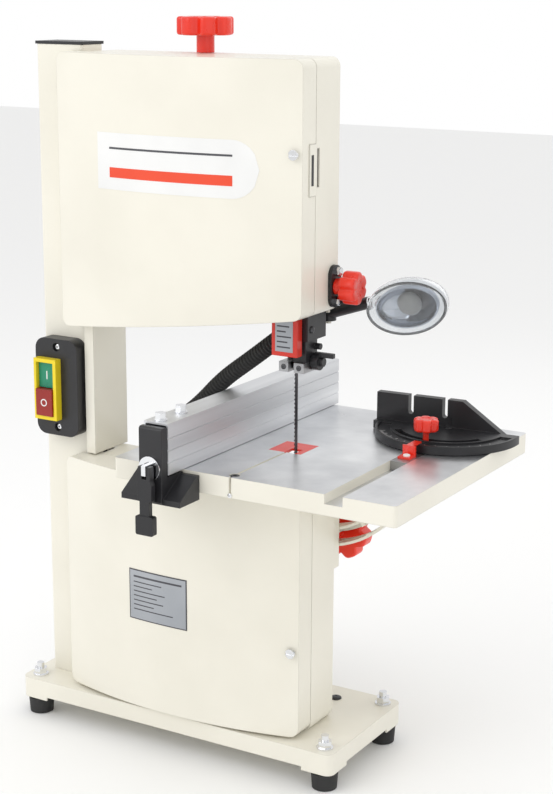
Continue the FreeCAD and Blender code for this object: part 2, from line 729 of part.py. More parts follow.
def build_drive():
    wheel_x = num("wheel_x")
    low = (wheel_x, num("wheel_low_z"))
    high = (wheel_x, num("wheel_high_z"))
    radius = num("wheel_radius + air_gap")
    band = loop_band(low, radius, high, radius, num("band_thick"), num("wheel_y - band_width / 2"), num("band_width"))
    part("band_blade", shaped("band", band))

    motor = (num("motor_x"), num("motor_z"))
    belt = loop_band(low, num("pulley_radius + air_gap"), motor, num("motor_pulley_radius + air_gap"),
                     num("belt_thick"), num("belt_front"), num("belt_width"))
    part("drive_belt", shaped("belt", belt))

    shaft = rod("shaft_rod", "y", ("wheel_x", 44, "wheel_low_z"), "shaft_radius", 70)
    collar = rod("shaft_nut", "y", ("wheel_x", 41, "wheel_low_z"), 12, 6)
    part("drive_shaft", fuse("shaft", shaft, collar))

    # flanged bearing housing bolted to the back of the lower case
    flange = rod("bearing_flange", "y", ("wheel_x", "pan_back", "wheel_low_z"), 34, 6)
    barrel = rod("bearing_barrel", "y", ("wheel_x", "pan_back", "wheel_low_z"), 23, 28)
    bore = rod("bearing_bore", "y", ("wheel_x", 70, "wheel_low_z"), "shaft_radius + pin_fit", 45)
    heads = [
        hexagon(f"bearing_bolt_{i}", "y",
                (f"wheel_x + 28.5 * cos({90 * i + 45})", "pan_back + 6", f"wheel_low_z + 28.5 * sin({90 * i + 45})"), 8, 4)
        for i in range(4)]
    part("bearing_housing", cut("bearing", fuse("bearing_body", flange, barrel, *heads), bore))

    pulley = turned("motor_pulley_body", "y", ("motor_x", "belt_front - 1", "motor_z"), [
        (0, 0), ("motor_pulley_radius + 3", 0), ("motor_pulley_radius", 1),
        ("motor_pulley_radius", "belt_width + 1"), ("motor_pulley_radius + 3", "belt_width + 2"),
        ("motor_shaft_radius", "belt_width + 2"), ("motor_shaft_radius", 60), (0, 60)])
    part("motor_pulley", pulley)

    casing = rod("motor_casing", "y", ("motor_x", "pan_back", "motor_z"), "motor_radius - 4", "motor_length")
    fins = []
    count = 20
    for i in range(count):
        angle = 360 * i / count
        fin = block(f"fin_{i}", ("motor_x", "motor_x"), ("pan_back + 14", "pan_back + motor_length - 26"),
                    ("motor_z - 1.1", "motor_z + 1.1"))
        bind(fin, "Length", "motor_radius")
        fin.Placement = FreeCAD.Placement(Vec(0, 0, 0), FreeCAD.Rotation(Vec(0, 1, 0), angle))
        # the fin turns about the motor's axis, so its corner is set back by half its thickness
        bind(fin, "Placement.Base.x", f"motor_x - 1.1 * sin({angle}) - origin_x")
        bind(fin, "Placement.Base.z", f"motor_z - 1.1 * cos({angle})")
        fins.append(fin)
    fan_cover = rod("motor_fan_cover", "y", ("motor_x", "pan_back + motor_length - 24", "motor_z"), "motor_radius", 24)
    feet = rod("motor_front", "y", ("motor_x", "pan_back", "motor_z"), "motor_radius", 10)
    box = block("motor_box", ("motor_x - 20", "motor_x + 40"), ("pan_back + 22", "pan_back + 84"),
                ("motor_z + 38", "motor_z + 70"))
    gland = rod("motor_gland", "y", ("motor_x + 28", "pan_back + 84", "motor_z + 56"), 8, 14)
    hole = rod("motor_bore", "y", ("motor_x", 80, "motor_z"), "motor_shaft_radius + pin_fit", 54)
    vents = [
        rod(f"motor_vent_{i}", "y",
            (f"motor_x + 30 * cos({45 * i})", "pan_back + motor_length - 2", f"motor_z + 30 * sin({45 * i})"), 7, 4)
        for i in range(8)]
    solid = fuse("motor_solid", casing, *fins, fan_cover, feet, box, gland)
    part("motor_body", cut("motor", solid, hole, *vents))


# ---------------------------------------------------------------- tension and tracking

def build_carriage():
    grip = lobed("tension_grip", "z", ("wheel_x", "screw_y", "tension_head_low"), "tension_head_radius", 7, 7.5,
                 "tension_head_high - tension_head_low")
    hub = rod("tension_hub", "z", ("wheel_x", "screw_y", "upper_top + 0.4"), "tension_hub_radius",
              "tension_head_low - upper_top")
    bore = rod("tension_bore", "z", ("wheel_x", "screw_y", 700), "screw_radius + 0.03", 50)
    part("tension_knob", cut("tension_handle", fuse("tension_solid", grip, hub), bore))
    part("tension_screw", rod("tension_rod", "z", ("wheel_x", "screw_y", "wheel_high_z + 22"), "screw_radius", 130))

    left = "wheel_x - carriage_half"
    right = "wheel_x + carriage_half"
    plate = block("carriage_plate", (left, right), (80, 85.7),
                  ("wheel_high_z - 38", "wheel_high_z + 50"))
    nut = block("carriage_nut", ("wheel_x - 12", "wheel_x + 12"), (69, 81),
                ("wheel_high_z + 36", "wheel_high_z + 50"))
    ears = [
        block("carriage_ear_left", (left, "wheel_x - 12.4"), (70, 81), ("wheel_high_z - 8", "wheel_high_z + 8")),
        block("carriage_ear_right", ("wheel_x + 12.4", right), (70, 81), ("wheel_high_z - 8", "wheel_high_z + 8")),
    ]
    holes = [
        rod("carriage_nut_bore", "z", ("wheel_x", "screw_y", "wheel_high_z + 10"), "screw_radius + pin_fit", 60),
        rod("carriage_ear_bore", "x", ("wheel_x - 30", "screw_y", "wheel_high_z"), f"2 + pin_fit", 60),
        rod("carriage_tracking_bore", "y", ("wheel_x", 75, "tracking_z"), "3 + pin_fit", 20),
    ]
    part("wheel_carriage", cut("carriage", fuse("carriage_solid", plate, nut, *ears), *holes))

    boss = rod("block_boss", "x", ("wheel_x - 12", "screw_y", "wheel_high_z"), 3.6, 24)
    pin = rod("block_pin", "x", (left, "screw_y", "wheel_high_z"), 2, "2 * carriage_half")
    cheek = block("block_plate", ("wheel_x - 12", "wheel_x + 12"), (66, 73),
                  ("wheel_high_z - 32", "wheel_high_z + 14"))
    neck = block("block_neck", ("wheel_x - 12", "wheel_x + 12"), (72, "screw_y"),
                 ("wheel_high_z - 3", "wheel_high_z + 3"))
    axle = rod("block_axle", "y", ("wheel_x", 43, "wheel_high_z"), "axle_radius", 26)
    washer = rod("block_washer", "y", ("wheel_x", 43, "wheel_high_z"), 11, 3.2)
    part("axle_block", fuse("tilt_block", boss, pin, cheek, neck, axle, washer))

    screw = rod("tracking_screw", "y", ("wheel_x", 73.6, "tracking_z"), 3, 24)
    grip = lobed("tracking_grip", "y", ("wheel_x", 96, "tracking_z"), 17, 6, 5, 14)
    part("tracking_knob", fuse("tracking", screw, grip))


# ---------------------------------------------------------------- guide height drive

def involute_outline(teeth, module, backlash):
    """Corner points of an involute pinion's outline, pressure angle 20 degrees."""
    pressure = math.radians(20)
    pitch_radius = teeth * module / 2
    base_radius = pitch_radius * math.cos(pressure)
    tip_radius = pitch_radius + module
    root_radius = pitch_radius - 1.25 * module
    half_tooth = math.pi / (2 * teeth) - backlash / (2 * pitch_radius)
    lift = math.tan(pressure) - pressure
    points = []
    steps = 6
    for tooth in range(teeth):
        middle = 2 * math.pi * tooth / teeth
        flank = []
        for step in range(steps + 1):
            radius = base_radius + (tip_radius - base_radius) * step / steps
            roll = math.acos(min(1.0, base_radius / radius))
            spread = half_tooth + lift - (math.tan(roll) - roll)
            flank.append((radius, spread))
        root_spread = flank[0][1]
        polar = [(root_radius, middle - root_spread)]
        polar += [(radius, middle - spread) for radius, spread in flank]
        polar += [(radius, middle + spread) for radius, spread in reversed(flank)]
        polar.append((root_radius, middle + root_spread))
        points += [(radius * math.cos(angle), radius * math.sin(angle)) for radius, angle in polar]
    return points


def build_height_drive():
    module = num("gear_module")
    teeth = int(num("pinion_teeth"))
    axis_y = num("rack_pitch_y") + module * teeth / 2 + 0.1
    axis_z = num("height_axis_z")
    backlash = 0.16

    # pinion: one tooth points straight at the rack, which lies in front of it
    corners = [Vec(321, axis_y - u, axis_z + v) for u, v in involute_outline(teeth, module, backlash)]
    gear = Part.Face(Part.makePolygon(corners + corners[:1])).extrude(Vec(10, 0, 0))
    shaft = Part.makeCylinder(4, 49, Vec(317, axis_y, axis_z), Vec(1, 0, 0))
    part("height_pinion", shaped("pinion", gear.fuse(shaft).removeSplitter()))

    # post with rack teeth on its back, a tooth space level with the pinion's axis
    pitch = math.pi * module
    slope = math.tan(math.radians(20))
    pitch_y = num("rack_pitch_y")
    low = axis_z - 6 * pitch
    root_half = pitch / 4 + 1.25 * module * slope
    tip_half = pitch / 4 - module * slope
    root_y = pitch_y - 1.25 * module
    tip_y = pitch_y + module
    front = num("post_front")
    outline = [Vec(0, front, num("post_low")), Vec(0, root_y, num("post_low"))]
    for index in range(34):
        centre = low + (index + 0.5) * pitch
        outline += [
            Vec(0, root_y, centre - root_half), Vec(0, tip_y, centre - tip_half),
            Vec(0, tip_y, centre + tip_half), Vec(0, root_y, centre + root_half)]
    outline += [Vec(0, root_y, num("post_high")), Vec(0, front, num("post_high"))]
    face = Part.Face(Part.makePolygon(outline + outline[:1]))
    face.translate(Vec(num("post_left"), 0, 0))
    part("guide_post", shaped("post", face.extrude(Vec(num("post_right - post_left"), 0, 0))))

    plate_y = "rack_pitch_y + 8.1"
    side = ("case_right", "case_right + 4")
    body = prism("plate_body", "YZ", [
        (f"{plate_y} - 10", "height_axis_z - 21"), (f"{plate_y} + 10", "height_axis_z - 21"),
        (f"{plate_y} + 10", "height_axis_z + 21"), (f"{plate_y} - 10", "height_axis_z + 21")], side, corner=9.5)
    bolts = []
    for sign in ("-", "+"):
        centre = (plate_y, f"height_axis_z {sign} 14.5")
        bolts.append(hexagon(f"plate_bolt{'_low' if sign == '-' else '_high'}", "x", ("case_right + 4", *centre), 8, 5))
    bore = rod("plate_bore", "x", (340, plate_y, "height_axis_z"), "4 + pin_fit", 20)
    part("height_plate", cut("plate", fuse("plate_solid", body, *bolts), bore))

    hub = rod("height_hub", "x", ("case_right + 4.4", plate_y, "height_axis_z"), 8, 9)
    grip = lobed("height_grip", "x", ("case_right + 13", plate_y, "height_axis_z"), 17, 6, 5, 17)
    hole = rod("height_hole", "x", (340, plate_y, "height_axis_z"), 4.03, 26)
    part("height_knob", cut("height_handle", fuse("height_solid", hub, grip), hole))


# ---------------------------------------------------------------- upper guide

HOSE_ROUTE = [
    Vec(303, 55, 452),
    Vec(262, 63, 422),
    Vec(222, 71, 394),
    Vec(184, 80, 358),
    Vec(122, 95, 315),
    Vec(85, 104, 268),
    Vec(80, 107, 218),
]


def build_guide():
    thick = 1.5
    outer = block("guard_block", ("guard_left", "guard_right"), ("guard_front", "guard_front + 10.8"),
                  ("guard_low", "guard_high"))
    inner = block("guard_hollow", (f"guard_left + {thick}", f"guard_right - {thick}"),
                  (f"guard_front + {thick}", "guard_front + 13"), ("guard_low - 1", "guard_high + 1"))
    part("blade_guard", cut("guard", rounded("guard_outer", outer, 1.2, "z"), inner))

    back_block = block("body_back", (307, "guard_right + 6"), (60.6, 80), (450, "post_low"))
    side_plate = block("body_side", (319, "guard_right + 6"), ("guard_front + 10.8", 80), (450, "post_low"))
    lower_arm = block("body_arm", (319, 333), (46, 69), ("block_high", 451))
    nose = block("body_nose", (309.5, 313.5), (47, 62), (446, 463))
    foot = block("body_foot", (304, 333), (60.4, 69), ("block_high", "block_high + 8"))
    start, after = HOSE_ROUTE[0], HOSE_ROUTE[1]
    towards = (start - after).normalize()
    collar = shaped("body_collar", Part.makeCylinder(10.3, 5, start, towards))
    pin_screw = rod("body_screw", "x", (333, 66, 442), 3.2, 6)
    part("guide_body", fuse("guide_frame", back_block, side_plate, lower_arm, nose, foot, collar, pin_screw))

    # the jaws stand either side of the band and are joined behind it by the thrust bearing's pin
    left = block("block_left", (305, "wheel_x + wheel_radius - 0.4"), (42, 59.3), ("block_low", "block_high"))
    tail = block("block_tail", (305, 311.8), (59.3, 69), ("block_low", "block_high"))
    right = block("block_right", (322, 333), (42, 69), ("block_low", "block_high"))
    jaw_pin = rod("block_jaw", "x", ("wheel_x + wheel_radius + 1.35", 53, "block_low + 5"), 3.6, 6)
    race_pin = rod("block_race_pin", "x", (311, "race_y", "race_z"), "race_pin_radius", 12)
    part("guide_blocks", fuse("jaws", left, tail, right, jaw_pin, race_pin))

    # thrust bearing: its rim runs just behind the band's back edge
    race = turned("thrust_race", "x", (312.6, "race_y", "race_z"), [(0, 0), (5, 0.5), (5, 6.3), (0, 6.8)])
    race_bore = rod("thrust_bore", "x", (310, "race_y", "race_z"), "race_pin_radius + pin_fit", 12)
    part("thrust_bearing", cut("thrust_ring", race, race_bore))

    disc = rod("lock_disc", "x", (333.6, 62, 427.5), 8.5, 7.5)
    cap = rod("lock_cap", "x", (340, 62, 427.5), 4.5, 5)
    handle = block("lock_handle", (336, 356), (59.6, 64.4), (432.5, 437))
    part("guide_lock", fuse("lock", disc, cap, handle))


# ---------------------------------------------------------------- hose and dust port

def route_tube(route, radius):
    """A round tube of straight runs joined by tangent arcs, as large as the runs allow."""
    edges = []
    at = route[0]
    for before, corner, after in zip(route, route[1:], route[2:]):
        back = (before - corner)
        ahead = (after - corner)
        shorter = min(back.Length, ahead.Length)
        back.normalize()
        ahead.normalize()
        half_turn = (math.pi - back.getAngle(ahead)) / 2
        tangent = 0.45 * shorter
        bend = tangent / math.tan(half_turn)
        print(f"hose bend radius {bend:.0f} mm, turn {math.degrees(2 * half_turn):.0f} degrees")
        enter = corner + back * tangent
        leave = corner + ahead * tangent
        inward = (back + ahead).normalize()
        centre = corner + inward * (bend / math.cos(half_turn))
        edges.append(Part.LineSegment(at, enter).toShape())
        edges.append(Part.Arc(enter, centre - inward * bend, leave).toShape())
        at = leave
    edges.append(Part.LineSegment(at, route[-1]).toShape())
    path = Part.Wire(edges)
    ring = Part.Wire([Part.Circle(route[0], route[1] - route[0], radius).toShape()])
    tube = path.makePipeShell([ring], True, True)
    solid = Part.Solid(tube) if tube.ShapeType == "Shell" else tube
    expected = math.pi * radius ** 2 * path.Length
    print(f"hose length {path.Length:.1f} mm, volume {solid.Volume:.0f} against {expected:.0f}")
    return solid


def build_hose():
    part("dust_hose", shaped("hose", route_tube(HOSE_ROUTE, num("hose_radius"))))
    # box on the back of the lower case: the hose enters above, the outlet points back
    end = HOSE_ROUTE[-1]
    inward = (end - HOSE_ROUTE[-2]).normalize()
    box = block("port_box", (60, 102), ("pan_back", 120), (150, 194))
    neck = shaped("port_neck", Part.makeCylinder(num("hose_radius") + 1.5, 28, end, inward))
    spigot = rod("port_spigot", "y", (81, 120, 171), "outlet_bore + 2.5", 30)
    bore = rod("port_bore", "y", (81, 100, 171), "outlet_bore", 60)
    inlet = rod("port_inlet", "y", (92, 80, 173), 10, 30)
    throat = shaped("port_throat", Part.makeCylinder(num("hose_radius") - 2, 50, end - inward, inward))
    part("dust_port", cut("port", fuse("port_solid", box, neck, spigot), bore, inlet, throat))


# ---------------------------------------------------------------- table and tilt

def ring_sector(name, y_span, inner, outer, start_angle, end_angle):
    """A flat arc about the tilt axis; angles are from straight down, towards +X."""
    centre = ("tilt_x", y_span[1], "table_top")
    depth = f"({y_span[1]}) - ({y_span[0]})"
    solid = doc.addObject("Part::Cylinder", name + "_disc")
    bind(solid, "Radius", outer)
    bind(solid, "Height", depth)
    bind(solid, "Angle", f"({end_angle}) - ({start_angle})")
    # local X points straight down, the angle grows towards +X of the saw, and height is to the front
    turn = FreeCAD.Rotation(Vec(0, 0, -1), Vec(1, 0, 0), Vec(0, -1, 0), "XYZ")
    swing = FreeCAD.Rotation(Vec(0, 0, 1), num(start_angle))
    place(solid, *centre, rotation=turn.multiply(swing))
    hole = rod(name + "_hole", "y", ("tilt_x", f"({y_span[0]}) - 1", "table_top"), inner, f"{depth} + 2")
    return cut(name, solid, hole)


def build_table():
    under = "table_top - table_rim"
    slab = rounded(
        "table_outer",
        block("table_block", ("table_left", "table_right"), ("table_front", "table_back"), (under, "table_top")),
        4, "z")
    rib = "slot_width / 2 + 5.5"
    hollow_y = ("table_front + rim_wall", "table_back - rim_wall")
    hollow_z = (f"{under} - 1", "table_top - table_plate")
    hollows = [
        block("table_hollow_left", ("table_left + rim_wall", f"slot_x - ({rib})"), hollow_y, hollow_z),
        block("table_hollow_right", (f"slot_x + {rib}", "table_right - rim_wall"), hollow_y, hollow_z),
        block("table_under_rib", (f"slot_x - ({rib}) - 1", f"slot_x + {rib} + 1"), hollow_y,
              (f"{under} - 1", "table_top - slot_depth - 5")),
    ]
    slot = block("mitre_slot", ("slot_x - slot_width / 2", "slot_x + slot_width / 2"),
                 ("table_front - 1", "table_back + 1"), ("table_top - slot_depth", "table_top + 1"))
    half = "insert_side / 2"
    recess = block("insert_recess", (f"insert_x - {half} - 0.3", f"insert_x + {half} + 0.3"),
                   (f"insert_y - {half} - 0.3", f"insert_y + {half} + 0.3"), ("table_top - insert_thick", "table_top + 1"))
    throat = block("insert_throat", (f"insert_x - {half} + 2", f"insert_x + {half} - 2"),
                   (f"insert_y - {half} + 2", f"insert_y + {half} - 2"), (f"{under} - 1", "table_top + 1"))
    slit = block("table_slit", ("slit_x - 1.2", "slit_x + 1.2"), ("table_front - 1", "insert_y"),
                 (f"{under} - 1", "table_top + 1"))
    pin_hole = cone("table_pin_hole", "z", ("slit_x", "table_front + 9", under), 4, 5.6, "table_rim + 0.01")
    part("table", cut("table_casting", slab, *hollows, slot, recess, throat, slit, pin_hole))

    plate = block("insert_plate", (f"insert_x - {half}", f"insert_x + {half}"),
                  (f"insert_y - {half}", f"insert_y + {half}"), ("table_top - insert_thick", "table_top"))
    gap = block("insert_gap", ("slit_x - 1.2", "tilt_x + 5"), (f"insert_y - {half} - 1", "wheel_y + 7"),
                ("table_top - 6", "table_top + 1"))
    part("table_insert", cut("insert", plate, gap))


def build_trunnion():
    back = "trunnion_front + trunnion_depth"
    deep = ("trunnion_front", back)
    flange = "table_top - table_plate"
    arc = ring_sector("trunnion_arc", deep, "trunnion_inner", "trunnion_radius", -14, 82)
    # open pockets between cross ribs, all on the front side
    pockets = [
        ring_sector(f"trunnion_pocket_{i}", ("trunnion_front - 1", f"{back} - 5"), "trunnion_inner + 3",
                    "trunnion_radius - 3", start, end)
        for i, (start, end) in enumerate(((-11, 11), (14, 33), (36, 56), (59, 76)))]
    foot = block("trunnion_foot", ("tilt_x - 70", "slot_x - slot_width / 2 - 6"), deep, (f"{flange} - 7", flange))
    # strut that carries the arc's low end from the foot
    left_strut = prism("trunnion_strut", "XZ", [
        ("tilt_x - 70", flange), ("tilt_x - 50", flange), ("tilt_x - 10", "table_top - trunnion_inner - 2"),
        ("tilt_x - 26", "table_top - trunnion_inner - 6")], (f"{back} - 8", back))
    solid = fuse("trunnion_solid", arc, foot, left_strut)
    above = block("trunnion_trim", ("tilt_x - 140", "tilt_x + 140"), ("trunnion_front - 1", f"{back} + 1"),
                  (flange, "table_top + 30"))
    beside = block("trunnion_rib_trim", ("slot_x - slot_width / 2 - 5.5", "tilt_x + 140"),
                   ("trunnion_front - 1", f"{back} + 1"), ("table_top - slot_depth - 5", "table_top"))
    slot = ring_sector("clamp_slot", ("trunnion_front - 1", f"{back} + 1"), "clamp_radius - 4.3", "clamp_radius + 4.3",
                       "clamp_angle - 3", "clamp_angle + 49")
    part("table_trunnion", cut("trunnion", solid, above, beside, slot, *pockets))

    # fixed bracket behind the lower case, with a seat under the arc
    clamp_x = "tilt_x + clamp_radius * sin(clamp_angle)"
    clamp_z = "table_top - clamp_radius * cos(clamp_angle)"
    plate = block("bracket_plate", (288, 344), ("pan_back", "trunnion_front - 0.4"), (204, 282))
    head = block("bracket_head", (317, 328), ("pan_back", "trunnion_front - 0.4"), (281, 308))
    seat = ring_sector("bracket_seat", ("trunnion_front - 1", "trunnion_front + 12"), "trunnion_radius + 0.4",
                       "trunnion_radius + 7", -13, 10)
    hole = rod("bracket_hole", "y", (clamp_x, 80, clamp_z), "4 + pin_fit", 40)
    part("trunnion_bracket", cut("bracket", fuse("bracket_solid", plate, head, seat), hole))

    grip = lobed("tilt_grip", "y", (clamp_x, f"{back} + 9", clamp_z), 30, 7, 8, 18)
    hub = rod("tilt_hub", "y", (clamp_x, f"{back} + 0.5", clamp_z), 9, 10)
    stud = rod("tilt_stud", "y", (clamp_x, 90, clamp_z), 4, f"{back} - 90 + 5")
    part("tilt_knob", fuse("tilt_handle", grip, hub, stud))

    # lower guide: jaws either side of the band, under the table
    arm = block("under_arm", (319, 328), (62, "pan_back"), (300, 308))
    cross = block("under_cross", (305, 328), (61, 65), (300, 308))
    left = block("under_left", (305, "wheel_x + wheel_radius - 0.4"), (48, 61), (300, 309))
    right = block("under_right", ("wheel_x + wheel_radius + 1.35", 326), (48, 61), (300, 309))
    part("lower_guide", fuse("under_guide", arm, cross, left, right))


# ---------------------------------------------------------------- rip fence

def build_fence():
    low = "table_top + 0.4"
    high = "table_top + fence_height"
    bar = block("fence_block", ("fence_left", "fence_right"), ("fence_front", "fence_back"), (low, high))
    hollow = block("fence_hollow", ("fence_left + fence_wall", "fence_right - fence_wall"),
                   ("fence_front - 1", "fence_back + 1"), (f"{low} + fence_wall", f"{high} - fence_wall"))
    grooves = []
    for i, level in enumerate((12, 24, 36)):
        for side, x in (("left", "fence_left"), ("right", "fence_right")):
            grooves.append(block(f"fence_groove_{side}_{i}", (f"{x} - 0.8", f"{x} + 0.8"),
                                 ("fence_front - 1", "fence_back + 1"),
                                 (f"table_top + {level}", f"table_top + {level} + 1.6")))
    part("fence_beam", cut("fence", bar, hollow, *grooves))

    head = rounded("fence_head", block("fence_head_block", ("fence_left + 1", "fence_right - 1"),
                                       ("fence_front - 10", "fence_front"),
                                       ("bracket_low + 0.5", "table_top + fence_height - 3")), 3, "x")
    drop = block("fence_drop", ("fence_left + 1", "fence_right - 1"), ("fence_front - 1", "table_front - 0.6"),
                 ("bracket_low + 0.5", "table_top - 2"))
    feet = prism("fence_feet", "YZ", [
        ("fence_front - 8", "bracket_low"), ("table_front - 0.6", "bracket_low"),
        ("table_front - 0.6", "table_top - 3"), ("table_front - 5", "table_top - 3"),
        ("fence_front - 8", "bracket_low + 5.5")], ("bracket_left", "bracket_right"))
    part("fence_bracket", fuse("fence_clamp", head, drop, feet))

    bolts = []
    for i, y in enumerate((-75, -40.5)):
        washer = rod(f"fence_washer_{i}", "z", (243.5, y, high), 6.5, 1.2)
        nut = hexagon(f"fence_nut_{i}", "z", (243.5, y, f"{high} + 1.2"), 10, 6.5)
        bolts += [fuse(f"fence_bolt_{i}", washer, nut)]
    # the lever's fork is pinned to the eye of a bolt that comes through the washer
    disc = rod("fence_disc", "y", ("lever_x", "fence_front - 12.6", "lever_z"), 12, 2.6)
    eye = block("fence_eye", ("lever_x - 2.4", "lever_x + 2.4"), ("lever_y - 5", "fence_front - 12"),
                ("lever_z - 5", "lever_z + 5"))
    eye_bore = rod("fence_eye_bore", "x", ("lever_x - 15", "lever_y - 1", "lever_z"), "3 + pin_fit", 30)
    eye_bolt = cut("fence_eye_bolt", fuse("fence_eye_solid", disc, eye), eye_bore)
    part("fence_hardware", group("fence_fixings", *bolts, eye_bolt))

    pin = rod("lever_pin", "x", ("lever_x - 6.8", "lever_y - 1", "lever_z"), 3, 13.6)
    arm = block("lever_arm", ("lever_x - 5.5", "lever_x + 5.5"), ("lever_y - 4", "lever_y + 1.4"),
                (296, "lever_z - 12"))
    shoulder = prism("lever_shoulder", "XZ", [
        ("lever_x - 8", "lever_z - 30"), ("lever_x + 8", "lever_z - 30"), ("lever_x + 8.5", "lever_z - 14"),
        ("lever_x + 6.8", "lever_z - 10"), ("lever_x + 6.8", "lever_z + 3.8"),
        ("lever_x - 6.8", "lever_z + 3.8"), ("lever_x - 6.8", "lever_z - 10"),
        ("lever_x - 8.5", "lever_z - 14")], ("lever_y - 4", "lever_y + 2.4"))
    fork = block("lever_fork_gap", ("lever_x - 2.7", "lever_x + 2.7"), ("lever_y - 8", "lever_y + 8"),
                 ("lever_z - 8.5", "lever_z + 8"))
    pad = rounded("lever_pad_round", block("lever_pad", ("lever_x - 10", "lever_x + 10"),
                                           ("lever_y - 5", "lever_y + 2"), (278, 297)), 2, "y")
    part("fence_lever", fuse("lever", pin, cut("lever_fork", fuse("lever_solid", arm, shoulder, pad), fork)))


# ---------------------------------------------------------------- mitre gauge

def build_mitre():
    half = "(slot_width / 2 - 0.35)"
    lock_y = "mitre_y - mitre_lock"
    base_low = "table_top + 0.5"
    base_high = "table_top + 9"
    bar = block("bar_block", (f"slot_x - {half}", f"slot_x + {half}"), ("bar_front", "bar_back"),
                ("table_top - slot_depth + 0.4", "table_top"))
    pivot = rod("bar_pivot", "z", ("slot_x", "mitre_y", "table_top - 2"), 4, 10.5)
    stud_bore = rod("bar_bore", "z", ("slot_x", lock_y, "table_top - 7"), "3 + pin_fit", 10)
    part("mitre_bar", cut("bar", fuse("bar_solid", bar, pivot), stud_bore))

    plan = rod("mitre_plan", "z", ("slot_x", "mitre_y", base_low), "mitre_radius", 8.5)
    keep = block("mitre_keep", ("slot_x - 90", "slot_x + 90"), ("mitre_y - 80", "mitre_y + 4"),
                 ("table_top", "table_top + 12"))
    half_disc = common("mitre_half", plan, keep)
    face = prism("mitre_face", "XZ", [
        ("slot_x - 82", base_low), ("slot_x + 60", base_low), ("slot_x + 60", f"{base_low} + 6"),
        ("slot_x + 14", "table_top + 38"), ("slot_x - 82", "table_top + 38")], ("mitre_y + 3", "mitre_y + 12"))
    shelf = block("mitre_shelf", ("slot_x - 82", "slot_x + 60"), ("mitre_y - 6", "mitre_y + 4"), (base_low, base_high))
    notches = []
    for i, x in enumerate((-43.5, -5.5)):
        notches.append(block(f"mitre_notch_{i}", (f"slot_x + {x} - 3", f"slot_x + {x} + 3"), ("mitre_y", "mitre_y + 30"),
                             ("table_top + 21", "table_top + 40")))
        notches.append(rod(f"mitre_notch_end_{i}", "y", (f"slot_x + {x}", "mitre_y", "table_top + 21"), 3, 30))
    # the scale lies in a shallow step outside the curved lock slot
    scale_step = cut(
        "mitre_scale_ring",
        rod("mitre_scale_outer", "z", ("slot_x", "mitre_y", "table_top + 7"), "mitre_radius - 3", 5),
        rod("mitre_scale_inner", "z", ("slot_x", "mitre_y", "table_top + 6"), "mitre_lock + 7", 7))
    step_keep = block("mitre_step_keep", ("slot_x - 90", "slot_x + 90"), ("mitre_y - 80", "mitre_y - 8"),
                      ("table_top + 6", "table_top + 13"))
    step = common("mitre_step", scale_step, step_keep)
    lock_ring = doc.addObject("Part::Cylinder", "mitre_lock_outer")
    bind(lock_ring, "Radius", "mitre_lock + 3.6")
    lock_ring.Height = 20
    lock_ring.Angle = 116
    place(lock_ring, "slot_x", "mitre_y", "table_top", rotation=FreeCAD.Rotation(UP, 212))
    lock_slot = cut("mitre_lock_slot", lock_ring,
                    rod("mitre_lock_inner", "z", ("slot_x", "mitre_y", "table_top - 1"), "mitre_lock - 3.6", 22))
    pivot_bore = rod("mitre_bore", "z", ("slot_x", "mitre_y", "table_top"), "4 + pin_fit", 20)
    square = cut("mitre_square", fuse("mitre_solid", half_disc, face, shelf), step, lock_slot, pivot_bore, *notches)
    centre = Vec(num("slot_x - origin_x"), num("mitre_y - origin_y"), 0)
    square.Placement = FreeCAD.Placement(Vec(0, 0, 0), FreeCAD.Rotation(UP, num("mitre_turn")), centre)
    part("mitre_head", square)

    grip = lobed("mitre_grip", "z", ("slot_x", lock_y, "table_top + 18"), 13.5, 6, 3.6, 13)
    hub = rod("mitre_hub", "z", ("slot_x", lock_y, "table_top + 9.5"), 6.5, 9)
    stud = rod("mitre_stud", "z", ("slot_x", lock_y, "table_top - 6"), 3, 17)
    part("mitre_knob", fuse("mitre_handle", grip, hub, stud))

    foot = block("pointer_foot", ("slot_x - 7", "slot_x + 7"), (86, 99), ("table_top", "table_top + 2"))
    riser = block("pointer_riser", ("slot_x - 7", "slot_x + 7"), (97, 99), ("table_top", "table_top + 11.5"))
    nib = block("pointer_nib", ("slot_x - 4", "slot_x + 4"), (97, 117), ("table_top + 9.8", "table_top + 11.5"))
    part("mitre_pointer", fuse("pointer", foot, riser, nib))


# ---------------------------------------------------------------- lamp

